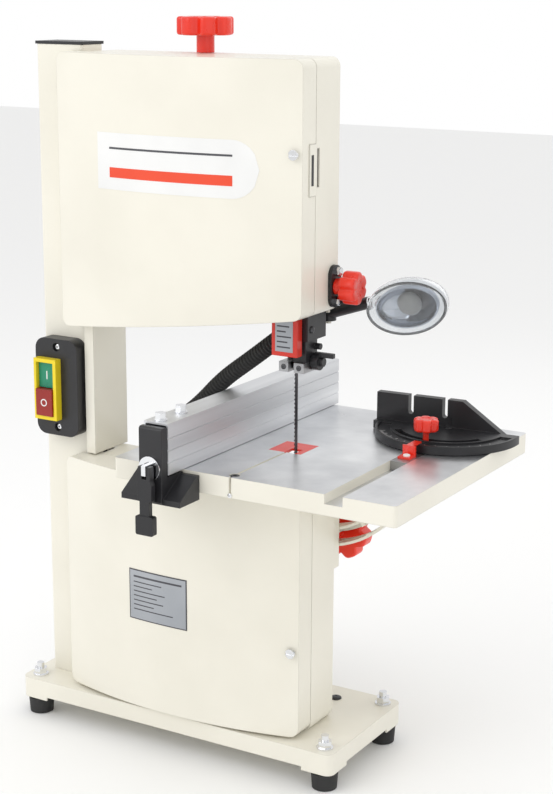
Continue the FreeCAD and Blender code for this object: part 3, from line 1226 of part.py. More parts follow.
def build_lamp():
    pivot = Vec(num("lamp_x"), num("lamp_y"), num("lamp_z"))
    neck = Vec(376, 98, 485)
    along = (neck - pivot).normalize()
    eye = Part.makeCylinder(8, 18, pivot + Vec(0, 0, -9), UP)
    eye_bore = Part.makeCylinder(3 + num("pin_fit"), 30, pivot + Vec(0, 0, -15), UP)
    arm = Part.makeCone(8, 6, (neck - pivot).Length, pivot, along)
    end_bore = Part.makeCylinder(3 + num("pin_fit"), 12, neck - along * 10, along)
    part("lamp_arm", shaped("arm", eye.fuse(arm).cut(eye_bore).cut(end_bore).removeSplitter()))

    # the head looks forward and down towards the blade; its own Z is the light's direction
    facing = Vec(0.12, -0.93, -0.35).normalize()
    long_axis = (Vec(1, 0, 0.28) - facing * Vec(1, 0, 0.28).dot(facing)).normalize()
    turn = FreeCAD.Rotation(long_axis, facing.cross(long_axis), facing, "ZXY")
    middle = Vec(424, 85, 488)

    def egg(length, width, deep):
        """A half egg: round bowl of the light, drawn out towards the arm."""
        ball = Part.makeSphere(1)
        stretch = FreeCAD.Matrix()
        stretch.scale(length, width, deep)
        return ball.transformGeometry(stretch)

    outer = egg(43, 29, 24)
    inner = egg(40.5, 26.5, 21.5)
    open_side = Part.makeBox(120, 80, 60, Vec(-60, -40, 4))
    shell = outer.cut(inner).cut(open_side)
    pane = FreeCAD.Matrix()
    pane.scale(42.2, 28.2, 2)
    pane.move(Vec(0, 0, 4.2))
    lens = Part.makeCylinder(1, 1).transformGeometry(pane)
    where = FreeCAD.Placement(middle, turn).toMatrix()
    socket = Part.makeCylinder(6, 18, neck + along * 0.4, along)
    pin = Part.makeCylinder(3, 10, neck - along * 9, along)
    solid_head = outer.transformGeometry(where)
    hollow = inner.transformGeometry(where)
    stub = socket.fuse(pin).cut(hollow)
    shell = shell.transformGeometry(where).fuse(stub.cut(solid_head).fuse(stub.common(solid_head)))
    part("lamp_shell", shaped("lamp_shell_form", shell.removeSplitter()))
    part("lamp_lens", shaped("lamp_lens_form", lens.transformGeometry(where)))


# ---------------------------------------------------------------- switch

def build_switch():
    front = "column_front - switch_depth"
    box = rounded("switch_case", block("switch_block", ("switch_left", "switch_right"), (front, "column_front"),
                                       ("switch_low", "switch_high")), 12, "y")
    screws = [
        rod(f"switch_sink_{i}", "y", ("(switch_left + switch_right) / 2", f"{front} - 1", z), 4.5, 5)
        for i, z in enumerate(("switch_low + 9", "switch_high - 9"))]
    pocket = block("switch_pocket", (24, 46), (f"{front} - 1", f"{front} + 9"), (342, 400))
    part("switch_box", cut("switch_case_cut", box, *screws, pocket))

    frame = block("surround_block", (21, 50), (f"{front} - 9", front), (338, 404))
    window = block("surround_window", (24, 46), (f"{front} - 10", f"{front} + 10"), (342, 400))
    part("switch_surround", cut("surround", frame, window))
    part("start_button", block("start_cap", (24.5, 45.5), (f"{front} - 4.5", f"{front} + 3"), (372, 399.5)))
    part("stop_button", block("stop_cap", (24.5, 45.5), (f"{front} - 11", f"{front} + 3"), (342.5, 371.4)))


build_base()
build_column()
build_upper_pan()
build_lower_pan()
build_doors()
build_wheels()
build_drive()
build_carriage()
build_height_drive()
build_guide()
build_hose()
build_table()
build_trunnion()
build_fence()
build_mitre()
build_lamp()
build_switch()
doc.recompute()


# ---------------------------------------------------------------- check and write

faults = []
for obj in doc.Objects:
    if "Invalid" in obj.State or "Error" in obj.State:
        faults.append(f"{obj.Label}: {obj.State}")
for sub_part in PARTS:
    shape = sub_part.Shape
    if shape.isNull() or not shape.isValid() or not shape.Solids:
        faults.append(f"{sub_part.Label}: bad shape")
if faults:
    raise RuntimeError("; ".join(faults))

os.makedirs("parts", exist_ok=True)
for old in os.listdir("parts"):
    os.remove(os.path.join("parts", old))
for sub_part in PARTS:
    sub_part.Shape.exportStep(os.path.join("parts", sub_part.Label + ".step"))
print(len(PARTS), "sub-parts written")
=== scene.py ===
import bmesh
import bpy
import math
from mathutils import Matrix, Vector


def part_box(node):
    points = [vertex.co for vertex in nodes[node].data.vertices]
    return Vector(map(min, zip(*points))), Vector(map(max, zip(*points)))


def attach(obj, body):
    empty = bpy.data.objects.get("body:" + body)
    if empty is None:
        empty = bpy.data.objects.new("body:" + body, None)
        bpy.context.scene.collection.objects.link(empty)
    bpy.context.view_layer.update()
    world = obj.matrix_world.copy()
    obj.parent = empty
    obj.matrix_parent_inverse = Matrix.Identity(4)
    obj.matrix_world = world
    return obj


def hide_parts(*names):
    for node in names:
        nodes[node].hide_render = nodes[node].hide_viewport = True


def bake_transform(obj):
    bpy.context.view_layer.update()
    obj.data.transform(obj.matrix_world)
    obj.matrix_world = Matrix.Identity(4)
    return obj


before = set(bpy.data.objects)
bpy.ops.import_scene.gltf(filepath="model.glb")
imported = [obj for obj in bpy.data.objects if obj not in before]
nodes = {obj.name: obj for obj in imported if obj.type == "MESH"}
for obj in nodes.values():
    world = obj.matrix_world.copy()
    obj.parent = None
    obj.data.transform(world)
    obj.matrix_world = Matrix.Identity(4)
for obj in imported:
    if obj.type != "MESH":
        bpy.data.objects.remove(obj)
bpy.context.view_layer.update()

# Places below are in millimetres from the base tray's front left corner, Z up from the bench.
MM = 0.001
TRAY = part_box("base_tray")[0]


def at(x, y, z):
    return Vector((TRAY[0] + x * MM, TRAY[1] + y * MM, z * MM))


# ---------------------------------------------------------------- camera, lights, floor

YAW = math.radians(30.755)
PITCH = math.radians(13.839)
ROLL = math.radians(0.255)
LENS = 77.32


def add_camera():
    ahead = Vector((-math.sin(YAW) * math.cos(PITCH), math.cos(YAW) * math.cos(PITCH),
                    -math.sin(PITCH)))
    right = Vector((math.cos(YAW), math.sin(YAW), 0))
    up = right.cross(ahead)
    rolled_right = right * math.cos(ROLL) + up * math.sin(ROLL)
    rolled_up = up * math.cos(ROLL) - right * math.sin(ROLL)
    basis = Matrix((rolled_right, rolled_up, -ahead)).transposed().to_4x4()
    data = bpy.data.cameras.new("camera")
    data.lens = LENS
    data.clip_start = 0.05
    camera = bpy.data.objects.new("camera", data)
    camera.matrix_world = Matrix.Translation(at(1144.37, -1372.98, 796.55)) @ basis
    bpy.context.scene.collection.objects.link(camera)
    bpy.context.scene.camera = camera


def add_light(name, place, target, size, power):
    data = bpy.data.lights.new(name, "AREA")
    data.size = size
    data.energy = power
    lamp = bpy.data.objects.new(name, data)
    lamp.location = place
    lamp.rotation_euler = (target - place).to_track_quat("-Z", "Y").to_euler()
    bpy.context.scene.collection.objects.link(lamp)


def add_stage():
    bpy.context.scene.view_settings.view_transform = "Standard"
    middle = at(245, 60, 380)
    add_light("key", at(-700, -1500, 1500), middle, 1.3, 9)
    add_light("fill", at(1700, -900, 1000), middle, 1.6, 2)
    add_light("top", at(300, 100, 2100), middle, 1.8, 4)
    add_light("rim", at(500, 1600, 1300), middle, 1.4, 2)
    world = bpy.data.worlds.new("studio")
    world.use_nodes = True
    sky = world.node_tree
    # the background is white to the camera but lights the saw a little less
    glow = sky.nodes["Background"]
    glow.inputs["Color"].default_value = (1.0, 1.0, 1.0, 1)
    seen = sky.nodes.new("ShaderNodeLightPath")
    link(sky, spread(sky, seen.outputs["Is Camera Ray"], 0.88, 1.0), glow.inputs["Strength"])
    bpy.context.scene.world = world
    bpy.ops.mesh.primitive_plane_add(size=14, location=(0, 0, -0.0005))
    floor = bpy.context.object
    floor.name = "floor"
    shade = bpy.data.materials.new("floor_white")
    shade.use_nodes = True
    shade.node_tree.nodes["Principled BSDF"].inputs["Base Color"].default_value = (0.97, 0.97,
                                                                                   0.965, 1)
    shade.node_tree.nodes["Principled BSDF"].inputs["Roughness"].default_value = 0.85
    floor.data.materials.append(shade)


# ---------------------------------------------------------------- materials

def link(tree, source, target):
    tree.links.new(source, target)


def coordinates(tree, stretch=(1, 1, 1)):
    """Object coordinates, stretched; they ride with the piece."""
    place = tree.nodes.new("ShaderNodeTexCoord")
    mapping = tree.nodes.new("ShaderNodeMapping")
    mapping.inputs["Scale"].default_value = stretch
    link(tree, place.outputs["Object"], mapping.inputs["Vector"])
    return mapping.outputs["Vector"]


def noise(tree, vector, scale, detail=3.0):
    texture = tree.nodes.new("ShaderNodeTexNoise")
    texture.inputs["Scale"].default_value = scale
    texture.inputs["Detail"].default_value = detail
    link(tree, vector, texture.inputs["Vector"])
    return texture.outputs["Fac"]


def ramp(tree, value, low, high, low_colour, high_colour):
    stops = tree.nodes.new("ShaderNodeValToRGB")
    stops.color_ramp.elements[0].position = low
    stops.color_ramp.elements[1].position = high
    stops.color_ramp.elements[0].color = (*low_colour, 1)
    stops.color_ramp.elements[1].color = (*high_colour, 1)
    link(tree, value, stops.inputs["Fac"])
    return stops.outputs["Color"]


def spread(tree, value, low, high):
    mapped = tree.nodes.new("ShaderNodeMapRange")
    mapped.inputs["To Min"].default_value = low
    mapped.inputs["To Max"].default_value = high
    link(tree, value, mapped.inputs["Value"])
    return mapped.outputs["Result"]


def surface(name, dark, light, rough, grain, bump, metal=0.0, stretch=(1, 1, 1), edge=0.0,
            blotch=9.0, **sockets):
    """A finish with mottled colour, uneven gloss and a fine grain.

    grain is bumps per metre, bump their height in metres, edge the radius that softens sharp edges."""
    material = bpy.data.materials.new(name)
    material.use_nodes = True
    tree = material.node_tree
    shader = tree.nodes["Principled BSDF"]
    vector = coordinates(tree, stretch)
    mottle = noise(tree, vector, blotch)
    fine = noise(tree, vector, grain, 2.0)
    link(tree, ramp(tree, mottle, 0.35, 0.65, dark, light), shader.inputs["Base Color"])
    link(tree, spread(tree, noise(tree, vector, blotch * 6), rough[0], rough[1]),
         shader.inputs["Roughness"])
    shader.inputs["Metallic"].default_value = metal
    lift = tree.nodes.new("ShaderNodeBump")
    lift.inputs["Distance"].default_value = bump
    lift.inputs["Strength"].default_value = 0.6
    link(tree, fine, lift.inputs["Height"])
    if edge:
        soft = tree.nodes.new("ShaderNodeBevel")
        soft.samples = 4
        soft.inputs["Radius"].default_value = edge
        link(tree, soft.outputs["Normal"], lift.inputs["Normal"])
    link(tree, lift.outputs["Normal"], shader.inputs["Normal"])
    for socket, value in sockets.items():
        shader.inputs[socket.replace("_", " ")].default_value = value
    return material


CREAM = surface("cream_paint", (0.82, 0.79, 0.69), (0.865, 0.835, 0.735), (0.30, 0.42), 900,
                0.00012, edge=0.0012,
                Coat_Weight=0.25)
BLACK = surface("black_plastic", (0.012, 0.012, 0.014), (0.022, 0.022, 0.025), (0.30, 0.45), 1400,
                0.00006, edge=0.0009)
RED = surface("red_plastic", (0.78, 0.018, 0.004), (0.90, 0.034, 0.008), (0.22, 0.36), 1200,
              0.00004, edge=0.0007,
              Coat_Weight=0.3)
GUARD_RED = surface("red_paint", (0.62, 0.03, 0.018), (0.74, 0.045, 0.025), (0.25, 0.35), 700,
                    0.00005, edge=0.0005)
STEEL = surface("steel", (0.36, 0.36, 0.37), (0.52, 0.52, 0.53), (0.26, 0.42), 500, 0.00003,
                metal=1.0,
                stretch=(1, 1, 6), edge=0.0004)
DARK_STEEL = surface("dark_steel", (0.08, 0.08, 0.085), (0.14, 0.14, 0.15), (0.3, 0.45), 700,
                     0.00003, metal=0.8,
                     edge=0.0003)
CHROME = surface("chrome", (0.72, 0.73, 0.75), (0.82, 0.83, 0.85), (0.06, 0.16), 300, 0.00001,
                 metal=1.0, edge=0.0004)
CAST = surface("cast_dark", (0.07, 0.07, 0.075), (0.12, 0.12, 0.125), (0.5, 0.65), 800, 0.0003,
               metal=0.2, edge=0.001)
FENCE = surface("extruded_aluminium", (0.66, 0.67, 0.69), (0.80, 0.81, 0.83), (0.42, 0.55), 420,
                0.00003, metal=1.0,
                stretch=(1, 0.03, 1.6), edge=0.0004, blotch=30)
WHEEL = surface("wheel_aluminium", (0.55, 0.55, 0.56), (0.68, 0.68, 0.69), (0.35, 0.5), 600, 0.0001,
                metal=1.0)
RUBBER = surface("black_rubber", (0.014, 0.014, 0.014), (0.026, 0.026, 0.026), (0.6, 0.8), 1000,
                 0.00012, edge=0.0008)
YELLOW = surface("yellow_plastic", (0.80, 0.60, 0.012), (0.90, 0.70, 0.02), (0.25, 0.35), 1200,
                 0.00004, edge=0.0006)
GREEN = surface("green_plastic", (0.01, 0.22, 0.12), (0.015, 0.28, 0.16), (0.22, 0.32), 1200,
                0.00004, edge=0.0008)
STOP_RED = surface("stop_plastic", (0.24, 0.012, 0.008), (0.32, 0.018, 0.012), (0.22, 0.32), 1200,
                   0.00004, edge=0.001)
WHITE = surface("white_print", (0.80, 0.80, 0.79), (0.88, 0.88, 0.87), (0.25, 0.35), 900, 0.00002)
LABEL_RED = surface("label_red", (0.78, 0.06, 0.02), (0.86, 0.08, 0.03), (0.25, 0.35), 900, 0.00002)
LABEL_GREY = surface("label_grey", (0.36, 0.38, 0.41), (0.44, 0.46, 0.49), (0.3, 0.4), 900, 0.00002,
                     metal=0.5)
LABEL_DARK = surface("label_dark", (0.05, 0.05, 0.06), (0.08, 0.08, 0.09), (0.35, 0.45), 900,
                     0.00002)
REFLECTOR = surface("reflector", (0.30, 0.33, 0.38), (0.62, 0.65, 0.70), (0.05, 0.14), 160, 0.0002,
                    metal=1.0)
CLEAR = surface("clear_plastic", (0.86, 0.88, 0.90), (0.93, 0.94, 0.95), (0.03, 0.10), 220, 0.00004,
                Transmission_Weight=0.96, IOR=1.46)
BULB = surface("bulb_glass", (0.90, 0.89, 0.84), (0.97, 0.96, 0.92), (0.08, 0.16), 300, 0.00002,
               Transmission_Weight=0.55, IOR=1.45)


def table_material():
    """Bare ground aluminium on top, cream paint on every other face."""
    material = CREAM.copy()
    material.name = "table_ground_and_painted"
    tree = material.node_tree
    paint = tree.nodes["Principled BSDF"]
    vector = coordinates(tree, (1, 1, 1))
    bare = tree.nodes.new("ShaderNodeBsdfPrincipled")
    bare.inputs["Metallic"].default_value = 1.0
    cloud = noise(tree, vector, 16, 4)
    link(tree, ramp(tree, cloud, 0.32, 0.68, (0.62, 0.63, 0.65), (0.88, 0.89, 0.90)),
         bare.inputs["Base Color"])
    # the grinding wheel's arcs: rings about a point well off the table
    rings = tree.nodes.new("ShaderNodeTexWave")
    rings.wave_type = "RINGS"
    rings.rings_direction = "Z"
    rings.inputs["Scale"].default_value = 260
    rings.inputs["Distortion"].default_value = 3.0
    shifted = coordinates(tree)
    mapping = shifted.node
    mapping.inputs["Location"].default_value = (0.35, 0.6, 0)
    link(tree, shifted, rings.inputs["Vector"])
    streak = noise(tree, coordinates(tree, (1, 0.04, 1)), 500, 3)
    blend = tree.nodes.new("ShaderNodeMath")
    blend.operation = "ADD"
    link(tree, rings.outputs["Fac"], blend.inputs[0])
    link(tree, streak, blend.inputs[1])
    link(tree, spread(tree, cloud, 0.22, 0.42), bare.inputs["Roughness"])
    lift = tree.nodes.new("ShaderNodeBump")
    lift.inputs["Distance"].default_value = 0.00003
    lift.inputs["Strength"].default_value = 0.5
    link(tree, blend.outputs["Value"], lift.inputs["Height"])
    link(tree, lift.outputs["Normal"], bare.inputs["Normal"])
    place = tree.nodes.new("ShaderNodeTexCoord")
    split = tree.nodes.new("ShaderNodeSeparateXYZ")
    link(tree, place.outputs["Normal"], split.inputs["Vector"])
    height = tree.nodes.new("ShaderNodeSeparateXYZ")
    link(tree, place.outputs["Object"], height.inputs["Vector"])
    facing = tree.nodes.new("ShaderNodeMath")
    facing.operation = "GREATER_THAN"
    facing.inputs[1].default_value = 0.9
    link(tree, split.outputs["Z"], facing.inputs[0])
    high = tree.nodes.new("ShaderNodeMath")
    high.operation = "GREATER_THAN"
    high.inputs[1].default_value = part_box("table")[1][2] - 0.0102
    link(tree, height.outputs["Z"], high.inputs[0])
    both = tree.nodes.new("ShaderNodeMath")
    both.operation = "MULTIPLY"
    link(tree, facing.outputs["Value"], both.inputs[0])
    link(tree, high.outputs["Value"], both.inputs[1])
    mix = tree.nodes.new("ShaderNodeMixShader")
    link(tree, both.outputs["Value"], mix.inputs["Fac"])
    link(tree, paint.outputs["BSDF"], mix.inputs[1])
    link(tree, bare.outputs["BSDF"], mix.inputs[2])
    link(tree, mix.outputs["Shader"], tree.nodes["Material Output"].inputs["Surface"])
    return material


FINISHES = {
    CREAM: "base_tray column_tube return_guard upper_pan lower_pan upper_door lower_door table_trunnion "
           "trunnion_bracket bearing_housing",
    RUBBER: "rubber_feet drive_belt upper_tyre lower_tyre dust_hose",
    CHROME: "foot_bolts fence_hardware hinge_pins upper_door_lock lower_door_lock",
    BLACK: "column_cap dust_port height_plate switch_box guide_body guide_lock fence_bracket fence_lever "
           "mitre_head lamp_arm",
    RED: "tension_knob tracking_knob height_knob tilt_knob mitre_knob mitre_pointer table_insert",
    GUARD_RED: "blade_guard",
    STEEL: "band_blade axle_block tension_screw drive_shaft guide_post guide_blocks thrust_bearing "
           "height_pinion lower_guide mitre_bar motor_pulley",
    CAST: "wheel_carriage motor_body",
    WHEEL: "upper_wheel lower_wheel",
    FENCE: "fence_beam",
    YELLOW: "switch_surround",
    GREEN: "start_button",
    STOP_RED: "stop_button",
    CLEAR: "lamp_shell lamp_lens",
}


def finish_nodes():
    for material, names in FINISHES.items():
        for name in names.split():
            nodes[name].data.materials.clear()
            nodes[name].data.materials.append(material)
    nodes["table"].data.materials.clear()
    nodes["table"].data.materials.append(table_material())


# ---------------------------------------------------------------- mesh helpers

def piece(name, bm, material, body, smooth=True):
    """Turn a bmesh into a piece that rides on a CAD body, or on none when no body is given."""
    bmesh.ops.recalc_face_normals(bm, faces=bm.faces)
    mesh = bpy.data.meshes.new(name)
    bm.to_mesh(mesh)
    bm.free()
    obj = bpy.data.objects.new(name, mesh)
    bpy.context.scene.collection.objects.link(obj)
    mesh.materials.append(material)
    if smooth:
        for polygon in mesh.polygons:
            polygon.use_smooth = True
        mesh.set_sharp_from_angle(angle=math.radians(38))
    if body:
        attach(obj, body)
    return obj


def frame_of(axis):
    """A right-handed pair of directions across an axis."""
    axis = axis.normalized()
    side = Vector((0, 0, 1)) if abs(axis.z) < 0.9 else Vector((1, 0, 0))
    first = (side - axis * side.dot(axis)).normalized()
    return first, axis.cross(first)


def loft(bm, rings, close=True):
    """Join rings of points, end to end, and cap the ends."""
    rows = [[bm.verts.new(p) for p in ring] for ring in rings]
    count = len(rows[0])
    for low, high in zip(rows, rows[1:]):
        for i in range(count):
            j = (i + 1) % count
            bm.faces.new((low[i], low[j], high[j], high[i]))
    if close:
        bm.faces.new(list(reversed(rows[0])))
        bm.faces.new(rows[-1])
    return rows


def turned(bm, centre, axis, profile, steps=40):
    """Sweep (radius, distance) pairs round an axis; a radius may be a function of the angle."""
    first, second = frame_of(axis)
    axis = axis.normalized()
    rings = []
    for radius, along in profile:
        ring = []
        for i in range(steps):
            angle = 2 * math.pi * i / steps
            size = radius(angle) if callable(radius) else radius
            ring.append(centre + axis * along + (first * math.cos(angle) + second * math.sin(angle)) * size)
        rings.append(ring)
    loft(bm, rings)


def slab(bm, corner, far, round_off=0.0003):
    """A box between two corners with its edges rounded."""
    verts = bmesh.ops.create_cube(bm, size=1)["verts"]
    middle = (corner + far) / 2
    size = far - corner
    for vert in verts:
        vert.co = Vector((vert.co.x * size.x, vert.co.y * size.y, vert.co.z * size.z)) + middle
    edges = list({edge for vert in verts for edge in vert.link_edges})
    bmesh.ops.bevel(bm, geom=edges, offset=round_off, segments=2, affect="EDGES")


# ---------------------------------------------------------------- knobs

def knob(node, axis, body, lobes, depth, head, hub_radius):
    """A moulded star grip in place of a CAD knob.

    head is (start, end) of the grip along the axis, in metres from the node's low end."""
    low, high = (Vector(corner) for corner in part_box(node))
    middle = (low + high) / 2
    direction = Vector(axis)
    index = max(range(3), key=lambda i: abs(axis[i]))
    start = middle.copy()
    start[index] = low[index]
    others = [i for i in range(3) if i != index]
    radius = min((high - low)[i] for i in others) / 2 - 0.0001

    def lobed(scale):
        def size(angle):
            wave = 0.5 - 0.5 * math.cos(lobes * angle)
            return radius * scale * (1 - depth * wave ** 3)
        return size

    begin, end = head
    thick = end - begin
    turn = min(0.0028, thick * 0.3)
    profile = [(hub_radius, 0.0), (hub_radius, begin - 0.0003)]
    steps = 6
    for i in range(steps + 1):
        angle = math.pi / 2 * i / steps
        profile.append((lobed(1 - turn / radius * (1 - math.sin(angle))),
                        begin + turn * (1 - math.cos(angle))))
    for i in range(steps + 1):
        angle = math.pi / 2 * i / steps
        profile.append((lobed(1 - turn / radius * (1 - math.cos(angle))),
                        end - turn * (1 - math.sin(angle))))
    # a shallow dish in the middle of the face
    profile += [(lobed(0.55), end - 0.0001), (radius * 0.42, end - 0.0009),
                (radius * 0.2, end - 0.0012)]
    bm = bmesh.new()
    turned(bm, start, direction, profile, steps=126)
    obj = piece(node + "_grip", bm, RED, body)
    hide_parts(node)
    return obj


def add_knobs():
    knob("tension_knob", (0, 0, 1), "tension", 7, 0.20, (0.0170, 0.0350), 0.009)
    knob("height_knob", (1, 0, 0), "height", 6, 0.20, (0.0086, 0.0256), 0.008)
    knob("tilt_knob", (0, 1, 0), "tilt_knob", 7, 0.20, (0.0370, 0.0550), 0.004)
    knob("mitre_knob", (0, 0, 1), "mitre_knob", 6, 0.22, (0.0240, 0.0370), 0.003)


# ---------------------------------------------------------------- hose

HOSE_ROUTE = [(303, 55, 452), (262, 63, 422), (222, 71, 394), (184, 80, 358), (122, 95, 315),
              (85, 104, 268),
              (80, 107, 218)]
HOSE_RADIUS = 0.009
HOSE_PITCH = 0.0046


def hose_line():
    """The route as straight runs joined by tangent arcs, read off at close steps."""
    route = [at(*point) for point in HOSE_ROUTE]
    line = [route[0]]
    for before, corner, after in zip(route, route[1:], route[2:]):
        back = before - corner
        ahead = after - corner
        reach = 0.45 * min(back.length, ahead.length)
        enter = corner + back.normalized() * reach
        leave = corner + ahead.normalized() * reach
        half = (math.pi - back.angle(ahead)) / 2
        bend = reach / math.tan(half)
        inward = (back.normalized() + ahead.normalized()).normalized()
        centre = corner + inward * (bend / math.cos(half))
        for i in range(13):
            swing = -half + 2 * half * i / 12
            along = (leave - enter).normalized()
            line.append(centre - inward * bend * math.cos(swing) + along * bend * math.sin(swing))
    line.append(route[-1])
    return line


def resample(line, step):
    """Points at equal steps along a line of points."""
    points = [line[0]]
    left = step
    for start, end in zip(line, line[1:]):
        run = (end - start).length
        while run > 1e-9 and left <= run:
            start = start.lerp(end, left / run)
            points.append(start.copy())
            run = (end - start).length
            left = step
        left -= run
    return points


def add_hose():
    line = hose_line()
    length = sum((b - a).length for a, b in zip(line, line[1:]))
    ribs = round(length / HOSE_PITCH)
    per_rib = 8
    points = resample(line, length / (ribs * per_rib) * 0.99999)
    bm = bmesh.new()
    rings = []
    side = Vector((0, 1, 0))
    steps = 28
    for i, point in enumerate(points):
        before = points[max(i - 1, 0)]
        after = points[min(i + 1, len(points) - 1)]
        along = (after - before).normalized()
        first = (side - along * side.dot(along)).normalized()
        second = along.cross(first)
        wave = math.sin(2 * math.pi * i / per_rib)
        radius = HOSE_RADIUS - 0.0009 + 0.0009 * max(-1, min(1, 1.5 * wave))
        rings.append([point + (first * math.cos(2 * math.pi * k / steps) + second * math.sin(2 * math.pi * k / steps))
                      * radius for k in range(steps)])
    loft(bm, rings)
    hose = piece("ribbed_hose", bm, RUBBER, None)
    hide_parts("dust_hose")
    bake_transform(hose)


# ---------------------------------------------------------------- toothed band

TOOTH_PITCH = 0.0042
TOOTH_DEPTH = 0.0016


def add_band():
    low, high = (Vector(corner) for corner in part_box("band_blade"))
    thick = 0.00065
    radius = (high.x - low.x) / 2
    centre_x = (low.x + high.x) / 2
    top = high.z - radius
    bottom = low.z + radius
    # centre line: up the left run, over the top, down the right run, under
    line = []
    steps = 48
    for i in range(steps + 1):
        angle = math.pi - math.pi * i / steps
        line.append((centre_x + (radius - thick / 2) * math.cos(angle),
                     top + (radius - thick / 2) * math.sin(angle),
                     math.cos(angle), math.sin(angle)))
    teeth = int((top - bottom) / TOOTH_PITCH)
    for i in range(teeth):
        base = top - (top - bottom) * i / teeth
        for step in (0.35, 0.7, 0.92):
            line.append((high.x - thick / 2, base - TOOTH_PITCH * step, 1, 0))
    for i in range(steps + 1):
        angle = -math.pi * i / steps
        line.append((centre_x + (radius - thick / 2) * math.cos(angle),
                     bottom + (radius - thick / 2) * math.sin(angle),
                     math.cos(angle), math.sin(angle)))
    bm = bmesh.new()
    rings = []
    for index, (x, z, nx, nz) in enumerate(line):
        in_run = steps < index <= steps + 3 * teeth
        gullet = in_run and (index - steps) % 3 != 0
        front = low.y + (TOOTH_DEPTH if gullet else 0.0)
        half = Vector((nx, 0, nz)) * thick / 2
        rings.append([Vector((x, front, z)) - half, Vector((x, front, z)) + half,
                      Vector((x, high.y, z)) + half, Vector((x, high.y, z)) - half])
    rings.append(rings[0])
    loft(bm, rings, close=False)
    bmesh.ops.remove_doubles(bm, verts=bm.verts, dist=1e-6)
    band = piece("toothed_band", bm, DARK_STEEL, "frame")
    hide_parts("band_blade")


# ---------------------------------------------------------------- plates on the bowed doors

BADGE_LINES = (135, 278)
RATING_LEFT = 158
RATING_LENGTHS = (36, 24, 40, 30, 38, 26, 50)
CASE_LEFT = 59.0
CASE_RIGHT = 346.0
DOOR_EDGE = 14.4
DOOR_BOW = 20.5


def door_front(x):
    half = (CASE_RIGHT - CASE_LEFT) / 2
    radius = (half ** 2 + DOOR_BOW ** 2) / (2 * DOOR_BOW)
    away = x - (CASE_LEFT + CASE_RIGHT) / 2
    return DOOR_EDGE - DOOR_BOW + radius - math.sqrt(radius ** 2 - away ** 2)


def plate(name, x_span, z_span, lift, material, body, round_right=False):
    """A thin plate bent to the door: lift is how far its face stands out, in millimetres."""
    left, right = x_span
    low, high = z_span
    radius = (high - low) / 2 if round_right else 1.2
    bm = bmesh.new()
    columns = 40
    back_rows = []
    front_rows = []
    for i in range(columns + 1):
        x = left + (right - left) * i / columns
        inset = 0.0
        if round_right and x > right - radius:
            inset = radius - math.sqrt(max(radius ** 2 - (x - (right - radius)) ** 2, 0.0))
        bottom, top = low + inset, max(high - inset, low + inset + 0.05)
        y = door_front(x)
        front_rows.append((bm.verts.new(at(x, y - lift, bottom)),
                           bm.verts.new(at(x, y - lift, top))))
        back_rows.append((bm.verts.new(at(x, y + 0.2, bottom)), bm.verts.new(at(x, y + 0.2, top))))
    for i in range(columns):
        a, b = front_rows[i], front_rows[i + 1]
        c, d = back_rows[i], back_rows[i + 1]
        bm.faces.new((a[0], b[0], b[1], a[1]))
        bm.faces.new((d[0], c[0], c[1], d[1]))
        bm.faces.new((a[1], b[1], d[1], c[1]))
        bm.faces.new((a[0], c[0], d[0], b[0]))
    for a, c in ((front_rows[0], back_rows[0]), (front_rows[-1], back_rows[-1])):
        bm.faces.new((a[0], a[1], c[1], c[0]))
    return piece(name, bm, material, body, smooth=False)


def add_plates():
    plate("badge", (119, 305), (591, 647), 0.35, WHITE, "upper_door",
          round_right=True)
    plate("badge_line", BADGE_LINES, (631, 633), 0.5, LABEL_DARK, "upper_door")
    plate("badge_stripe", BADGE_LINES, (603, 613), 0.5, LABEL_RED, "upper_door")
    plate("rating_plate", (152, 225), (143, 198), 0.4, LABEL_DARK, "lower_door")
    plate("rating_face", (153.2, 223.8), (144.2, 196.8), 0.55, LABEL_GREY, "lower_door")
    plate("rating_head", (RATING_LEFT, 219), (189.5, 191.5), 0.65, LABEL_DARK, "lower_door")
    for i, length in enumerate(RATING_LENGTHS):
        z = 184 - 5 * i
        plate(f"rating_line_{i}", (RATING_LEFT, RATING_LEFT + length), (z, z + 1.1), 0.65,
              LABEL_DARK,
              "lower_door")


# ---------------------------------------------------------------- lamp inside

LAMP_MIDDLE = (424, 85, 488)
LAMP_FACING = (0.12, -0.93, -0.35)
LAMP_SLOPE = (1, 0, 0.28)
REFLECTOR_OUTER = (33.5, 22.5, 18)
REFLECTOR_INNER = (32.1, 21.1, 16.6)
REFLECTOR_REACH = (-0.98, 0.15)
BULB_RADIUS = 0.0125
BULB_DEPTH = 0.0075


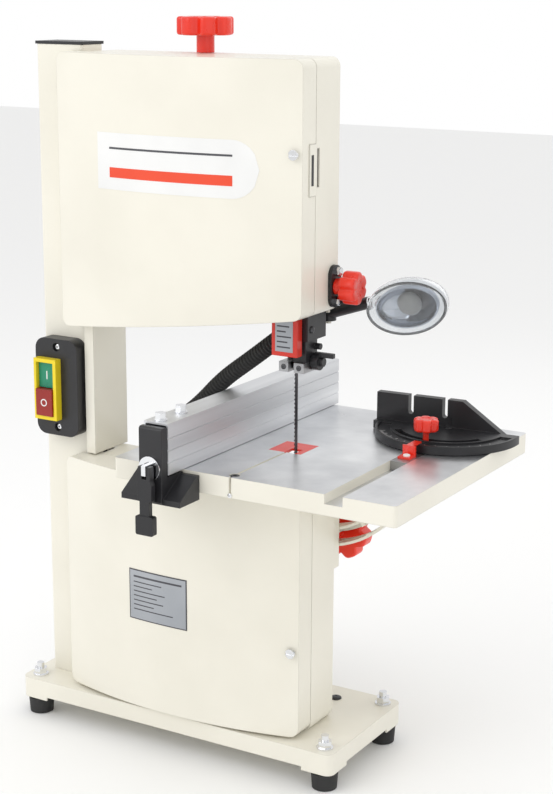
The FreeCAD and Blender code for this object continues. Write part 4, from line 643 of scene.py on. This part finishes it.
def add_lamp():
    facing = Vector(LAMP_FACING).normalized()
    slope = Vector(LAMP_SLOPE)
    long_axis = (slope - facing * slope.dot(facing)).normalized()
    across = facing.cross(long_axis)
    middle = at(*LAMP_MIDDLE)

    def egg(a, b, c, low, high, rows=18, steps=48):
        """Rings of a half egg between two heights along the light's direction, as shares of its depth."""
        rings = []
        for i in range(rows + 1):
            share = low + (high - low) * i / rows
            size = math.sqrt(max(1 - share ** 2, 0.0004))
            ring = []
            for k in range(steps):
                angle = 2 * math.pi * k / steps
                wide = long_axis * a * size * math.cos(angle)
                tall = across * b * size * math.sin(angle)
                ring.append(middle + (wide + tall + facing * c * share) * MM)
            rings.append(ring)
        return rings

    bm = bmesh.new()
    outer = egg(*REFLECTOR_OUTER, *REFLECTOR_REACH)
    inner = list(reversed(egg(*REFLECTOR_INNER, *REFLECTOR_REACH)))
    loft(bm, outer + inner)
    piece("lamp_reflector", bm, REFLECTOR, "lamp_head")

    bm = bmesh.new()
    profile = []
    for i in range(1, 16):
        angle = math.pi * i / 16
        profile.append((BULB_RADIUS * math.sin(angle), -BULB_DEPTH * math.cos(angle)))
    turned(bm, middle - facing * 6 * MM, facing, profile)
    piece("lamp_bulb", bm, BULB, "lamp_head")

    bm = bmesh.new()
    turned(bm, middle - facing * 15 * MM, facing,
           [(0.006, 0), (0.0075, 0.001), (0.0075, 0.006), (0.006, 0.007)])
    piece("lamp_socket", bm, BLACK, "lamp_head")


# ---------------------------------------------------------------- switch marks, screws and small hardware

def screw(name, place, axis, radius, height, body, material=CHROME):
    """A domed head with a cross recess."""
    bm = bmesh.new()
    profile = [(radius, 0.0), (radius, height * 0.4)]
    for i in range(1, 7):
        angle = math.pi / 2 * i / 6
        profile.append((radius * math.cos(angle * 0.93), height * (0.4 + 0.6 * math.sin(angle))))
    profile += [(radius * 0.3, height * 0.96), (radius * 0.24, height * 0.4),
                (radius * 0.05, height * 0.35)]
    turned(bm, place, Vector(axis), profile, steps=32)
    return piece(name, bm, material, body)


def add_switch_marks():
    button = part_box("start_button")
    x = (button[0][0] + button[1][0]) / 2
    z = (button[0][2] + button[1][2]) / 2
    face = button[0][1]
    bm = bmesh.new()
    slab(bm, Vector((x - 0.0007, face - 0.0003, z - 0.0045)),
         Vector((x + 0.0007, face + 0.0002, z + 0.0045)), 0.0001)
    piece("start_mark", bm, WHITE, "start")
    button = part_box("stop_button")
    z = (button[0][2] + button[1][2]) / 2
    face = button[0][1]
    bm = bmesh.new()
    ring = [(0.0040, -0.0002), (0.0040, 0.0003), (0.0029, 0.0003), (0.0029, -0.0002)]
    first, second = frame_of(Vector((0, -1, 0)))
    rings = []
    steps = 40
    for k in range(steps + 1):
        angle = 2 * math.pi * k / steps
        out = first * math.cos(angle) + second * math.sin(angle)
        rings.append([Vector((x, face, z)) + out * r + Vector((0, -1, 0)) * d for r, d in ring])
    loft(bm, rings, close=False)
    bmesh.ops.remove_doubles(bm, verts=bm.verts, dist=1e-6)
    piece("stop_mark", bm, WHITE, "stop")
    low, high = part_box("switch_box")
    for i, z in enumerate((low[2] + 0.009, high[2] - 0.009)):
        screw(f"switch_screw_{i}", Vector(((low[0] + high[0]) / 2, low[1] + 0.004, z)), (0, -1, 0),
              0.0037, 0.0022,
              "frame")


def add_mitre_scale():
    """Ticks every two degrees on the gauge's stepped ring."""
    pivot = at(423, 188, 0)
    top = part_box("mitre_head")[0][2] + 0.0066
    bm = bmesh.new()
    for degree in range(-60, 61, 2):
        angle = math.radians(degree - 86)
        long_tick = degree % 10 == 0
        out = Vector((math.cos(angle), math.sin(angle), 0))
        side = Vector((-math.sin(angle), math.cos(angle), 0)) * 0.00018
        near = 0.0655 if long_tick else 0.0685
        inner = pivot + out * near
        outer = pivot + out * 0.0722
        floor = Vector((0, 0, top))
        lift = Vector((0, 0, top + 0.00015))
        verts = [bm.verts.new(p + z) for z in (floor, lift) for p in (inner - side, inner + side,
                                                                      outer + side,
                                                                      outer - side)]
        for face in ((3, 2, 1, 0), (4, 5, 6, 7), (0, 1, 5, 4), (1, 2, 6, 5), (2, 3, 7, 6),
                     (3, 0, 4, 7)):
            bm.faces.new([verts[i] for i in face])
    piece("mitre_ticks", bm, WHITE, "mitre_head", smooth=False)


BAND_X = 310.4
JAW_SCREWS_X = (310.3, 327.5)
GUARD_LINES = (15, 12, 16, 10, 14)


def add_hardware():
    # screws of the guide jaws and their holders
    for i, x in enumerate(JAW_SCREWS_X):
        screw(f"jaw_screw_{i}", at(x, 42.2, 423), (0, -1, 0), 0.0028, 0.0012, "guide", DARK_STEEL)
    screw("guide_screw", at(336.3, 52, 461), (1, 0, 0), 0.0036, 0.002, "guide", DARK_STEEL)
    screw("pointer_screw", at(423, 92, 336), (0, 0, 1), 0.0036, 0.0022, "mitre_bar", WHITE)
    table_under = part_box("table")[0][2]
    screw("rim_screw", Vector((at(BAND_X, 0, 0).x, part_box("table")[0][1] - 0.0002, table_under + 0.0026)), (0, -1, 0),
          0.0024, 0.0012, "table")
    # black pin shape that stands in the hole at the mouth of the table's slit: painted shade, a dark plug in place of
    # the shadow inside the hole
    bm = bmesh.new()
    turned(bm, at(BAND_X, -48.6, 326), Vector((0, 0, 1)),
           [(0.0038, 0), (0.0046, 0.0072), (0.0042, 0.0078),
                                                         (0.0020, 0.0078), (0.0018, 0.0066)])
    piece("pin_hole_painted_shade", bm, BLACK, "table")
    screw("tray_plug", at(327.5, 128, 41.8), (0, 0, 1), 0.006, 0.0028, "frame", BLACK)
    # moulded pad round the tracking window, with its dark slot
    bm = bmesh.new()
    slab(bm, at(345.6, 26, 594), at(347.2, 39.6, 644), 0.0006)
    piece("window_pad", bm, CREAM, "upper_door")
    bm = bmesh.new()
    slab(bm, at(346.6, 29, 604), at(347.4, 34, 634), 0.0004)
    piece("window_slot", bm, BLACK, "upper_door")
    # label on the blade guard: a pale plate with plain lines
    bm = bmesh.new()
    slab(bm, at(306, 32.7, 440), at(326, 33.2, 471), 0.0001)
    piece("guard_label", bm, LABEL_GREY, "guide")
    bm = bmesh.new()
    for i, length in enumerate(GUARD_LINES):
        slab(bm, at(308, 32.5, 444 + 5.2 * i), at(308 + length, 32.9, 445.4 + 5.2 * i), 0.0001)
    piece("guard_label_lines", bm, LABEL_DARK, "guide")
    # zinc-plated heads over the bolts of the height plate
    low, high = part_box("height_plate")
    middle_y = (low[1] + high[1]) / 2
    for i, sign in enumerate((-1, 1)):
        bm = bmesh.new()
        hexagon = [(0.0047, 0.0), (0.0047, 0.0046), (0.0041, 0.0053), (0.0012, 0.0053)]
        turned(bm, Vector((high[0] - 0.0050, middle_y, (low[2] + high[2]) / 2 + sign * 0.0145)),
               Vector((1, 0, 0)),
               hexagon, steps=6)
        piece(f"plate_bolt_{i}", bm, CHROME, "frame", smooth=False)
    # rivets that hold the lamp's foot
    for i, z in enumerate((478, 504)):
        screw(f"lamp_rivet_{i}", at(326, 90.8, z), (0, 1, 0), 0.003, 0.0016, "frame")


add_camera()
add_stage()
finish_nodes()
add_knobs()
add_hose()
add_band()
add_plates()
add_lamp()
add_switch_marks()
add_mitre_scale()
add_hardware()
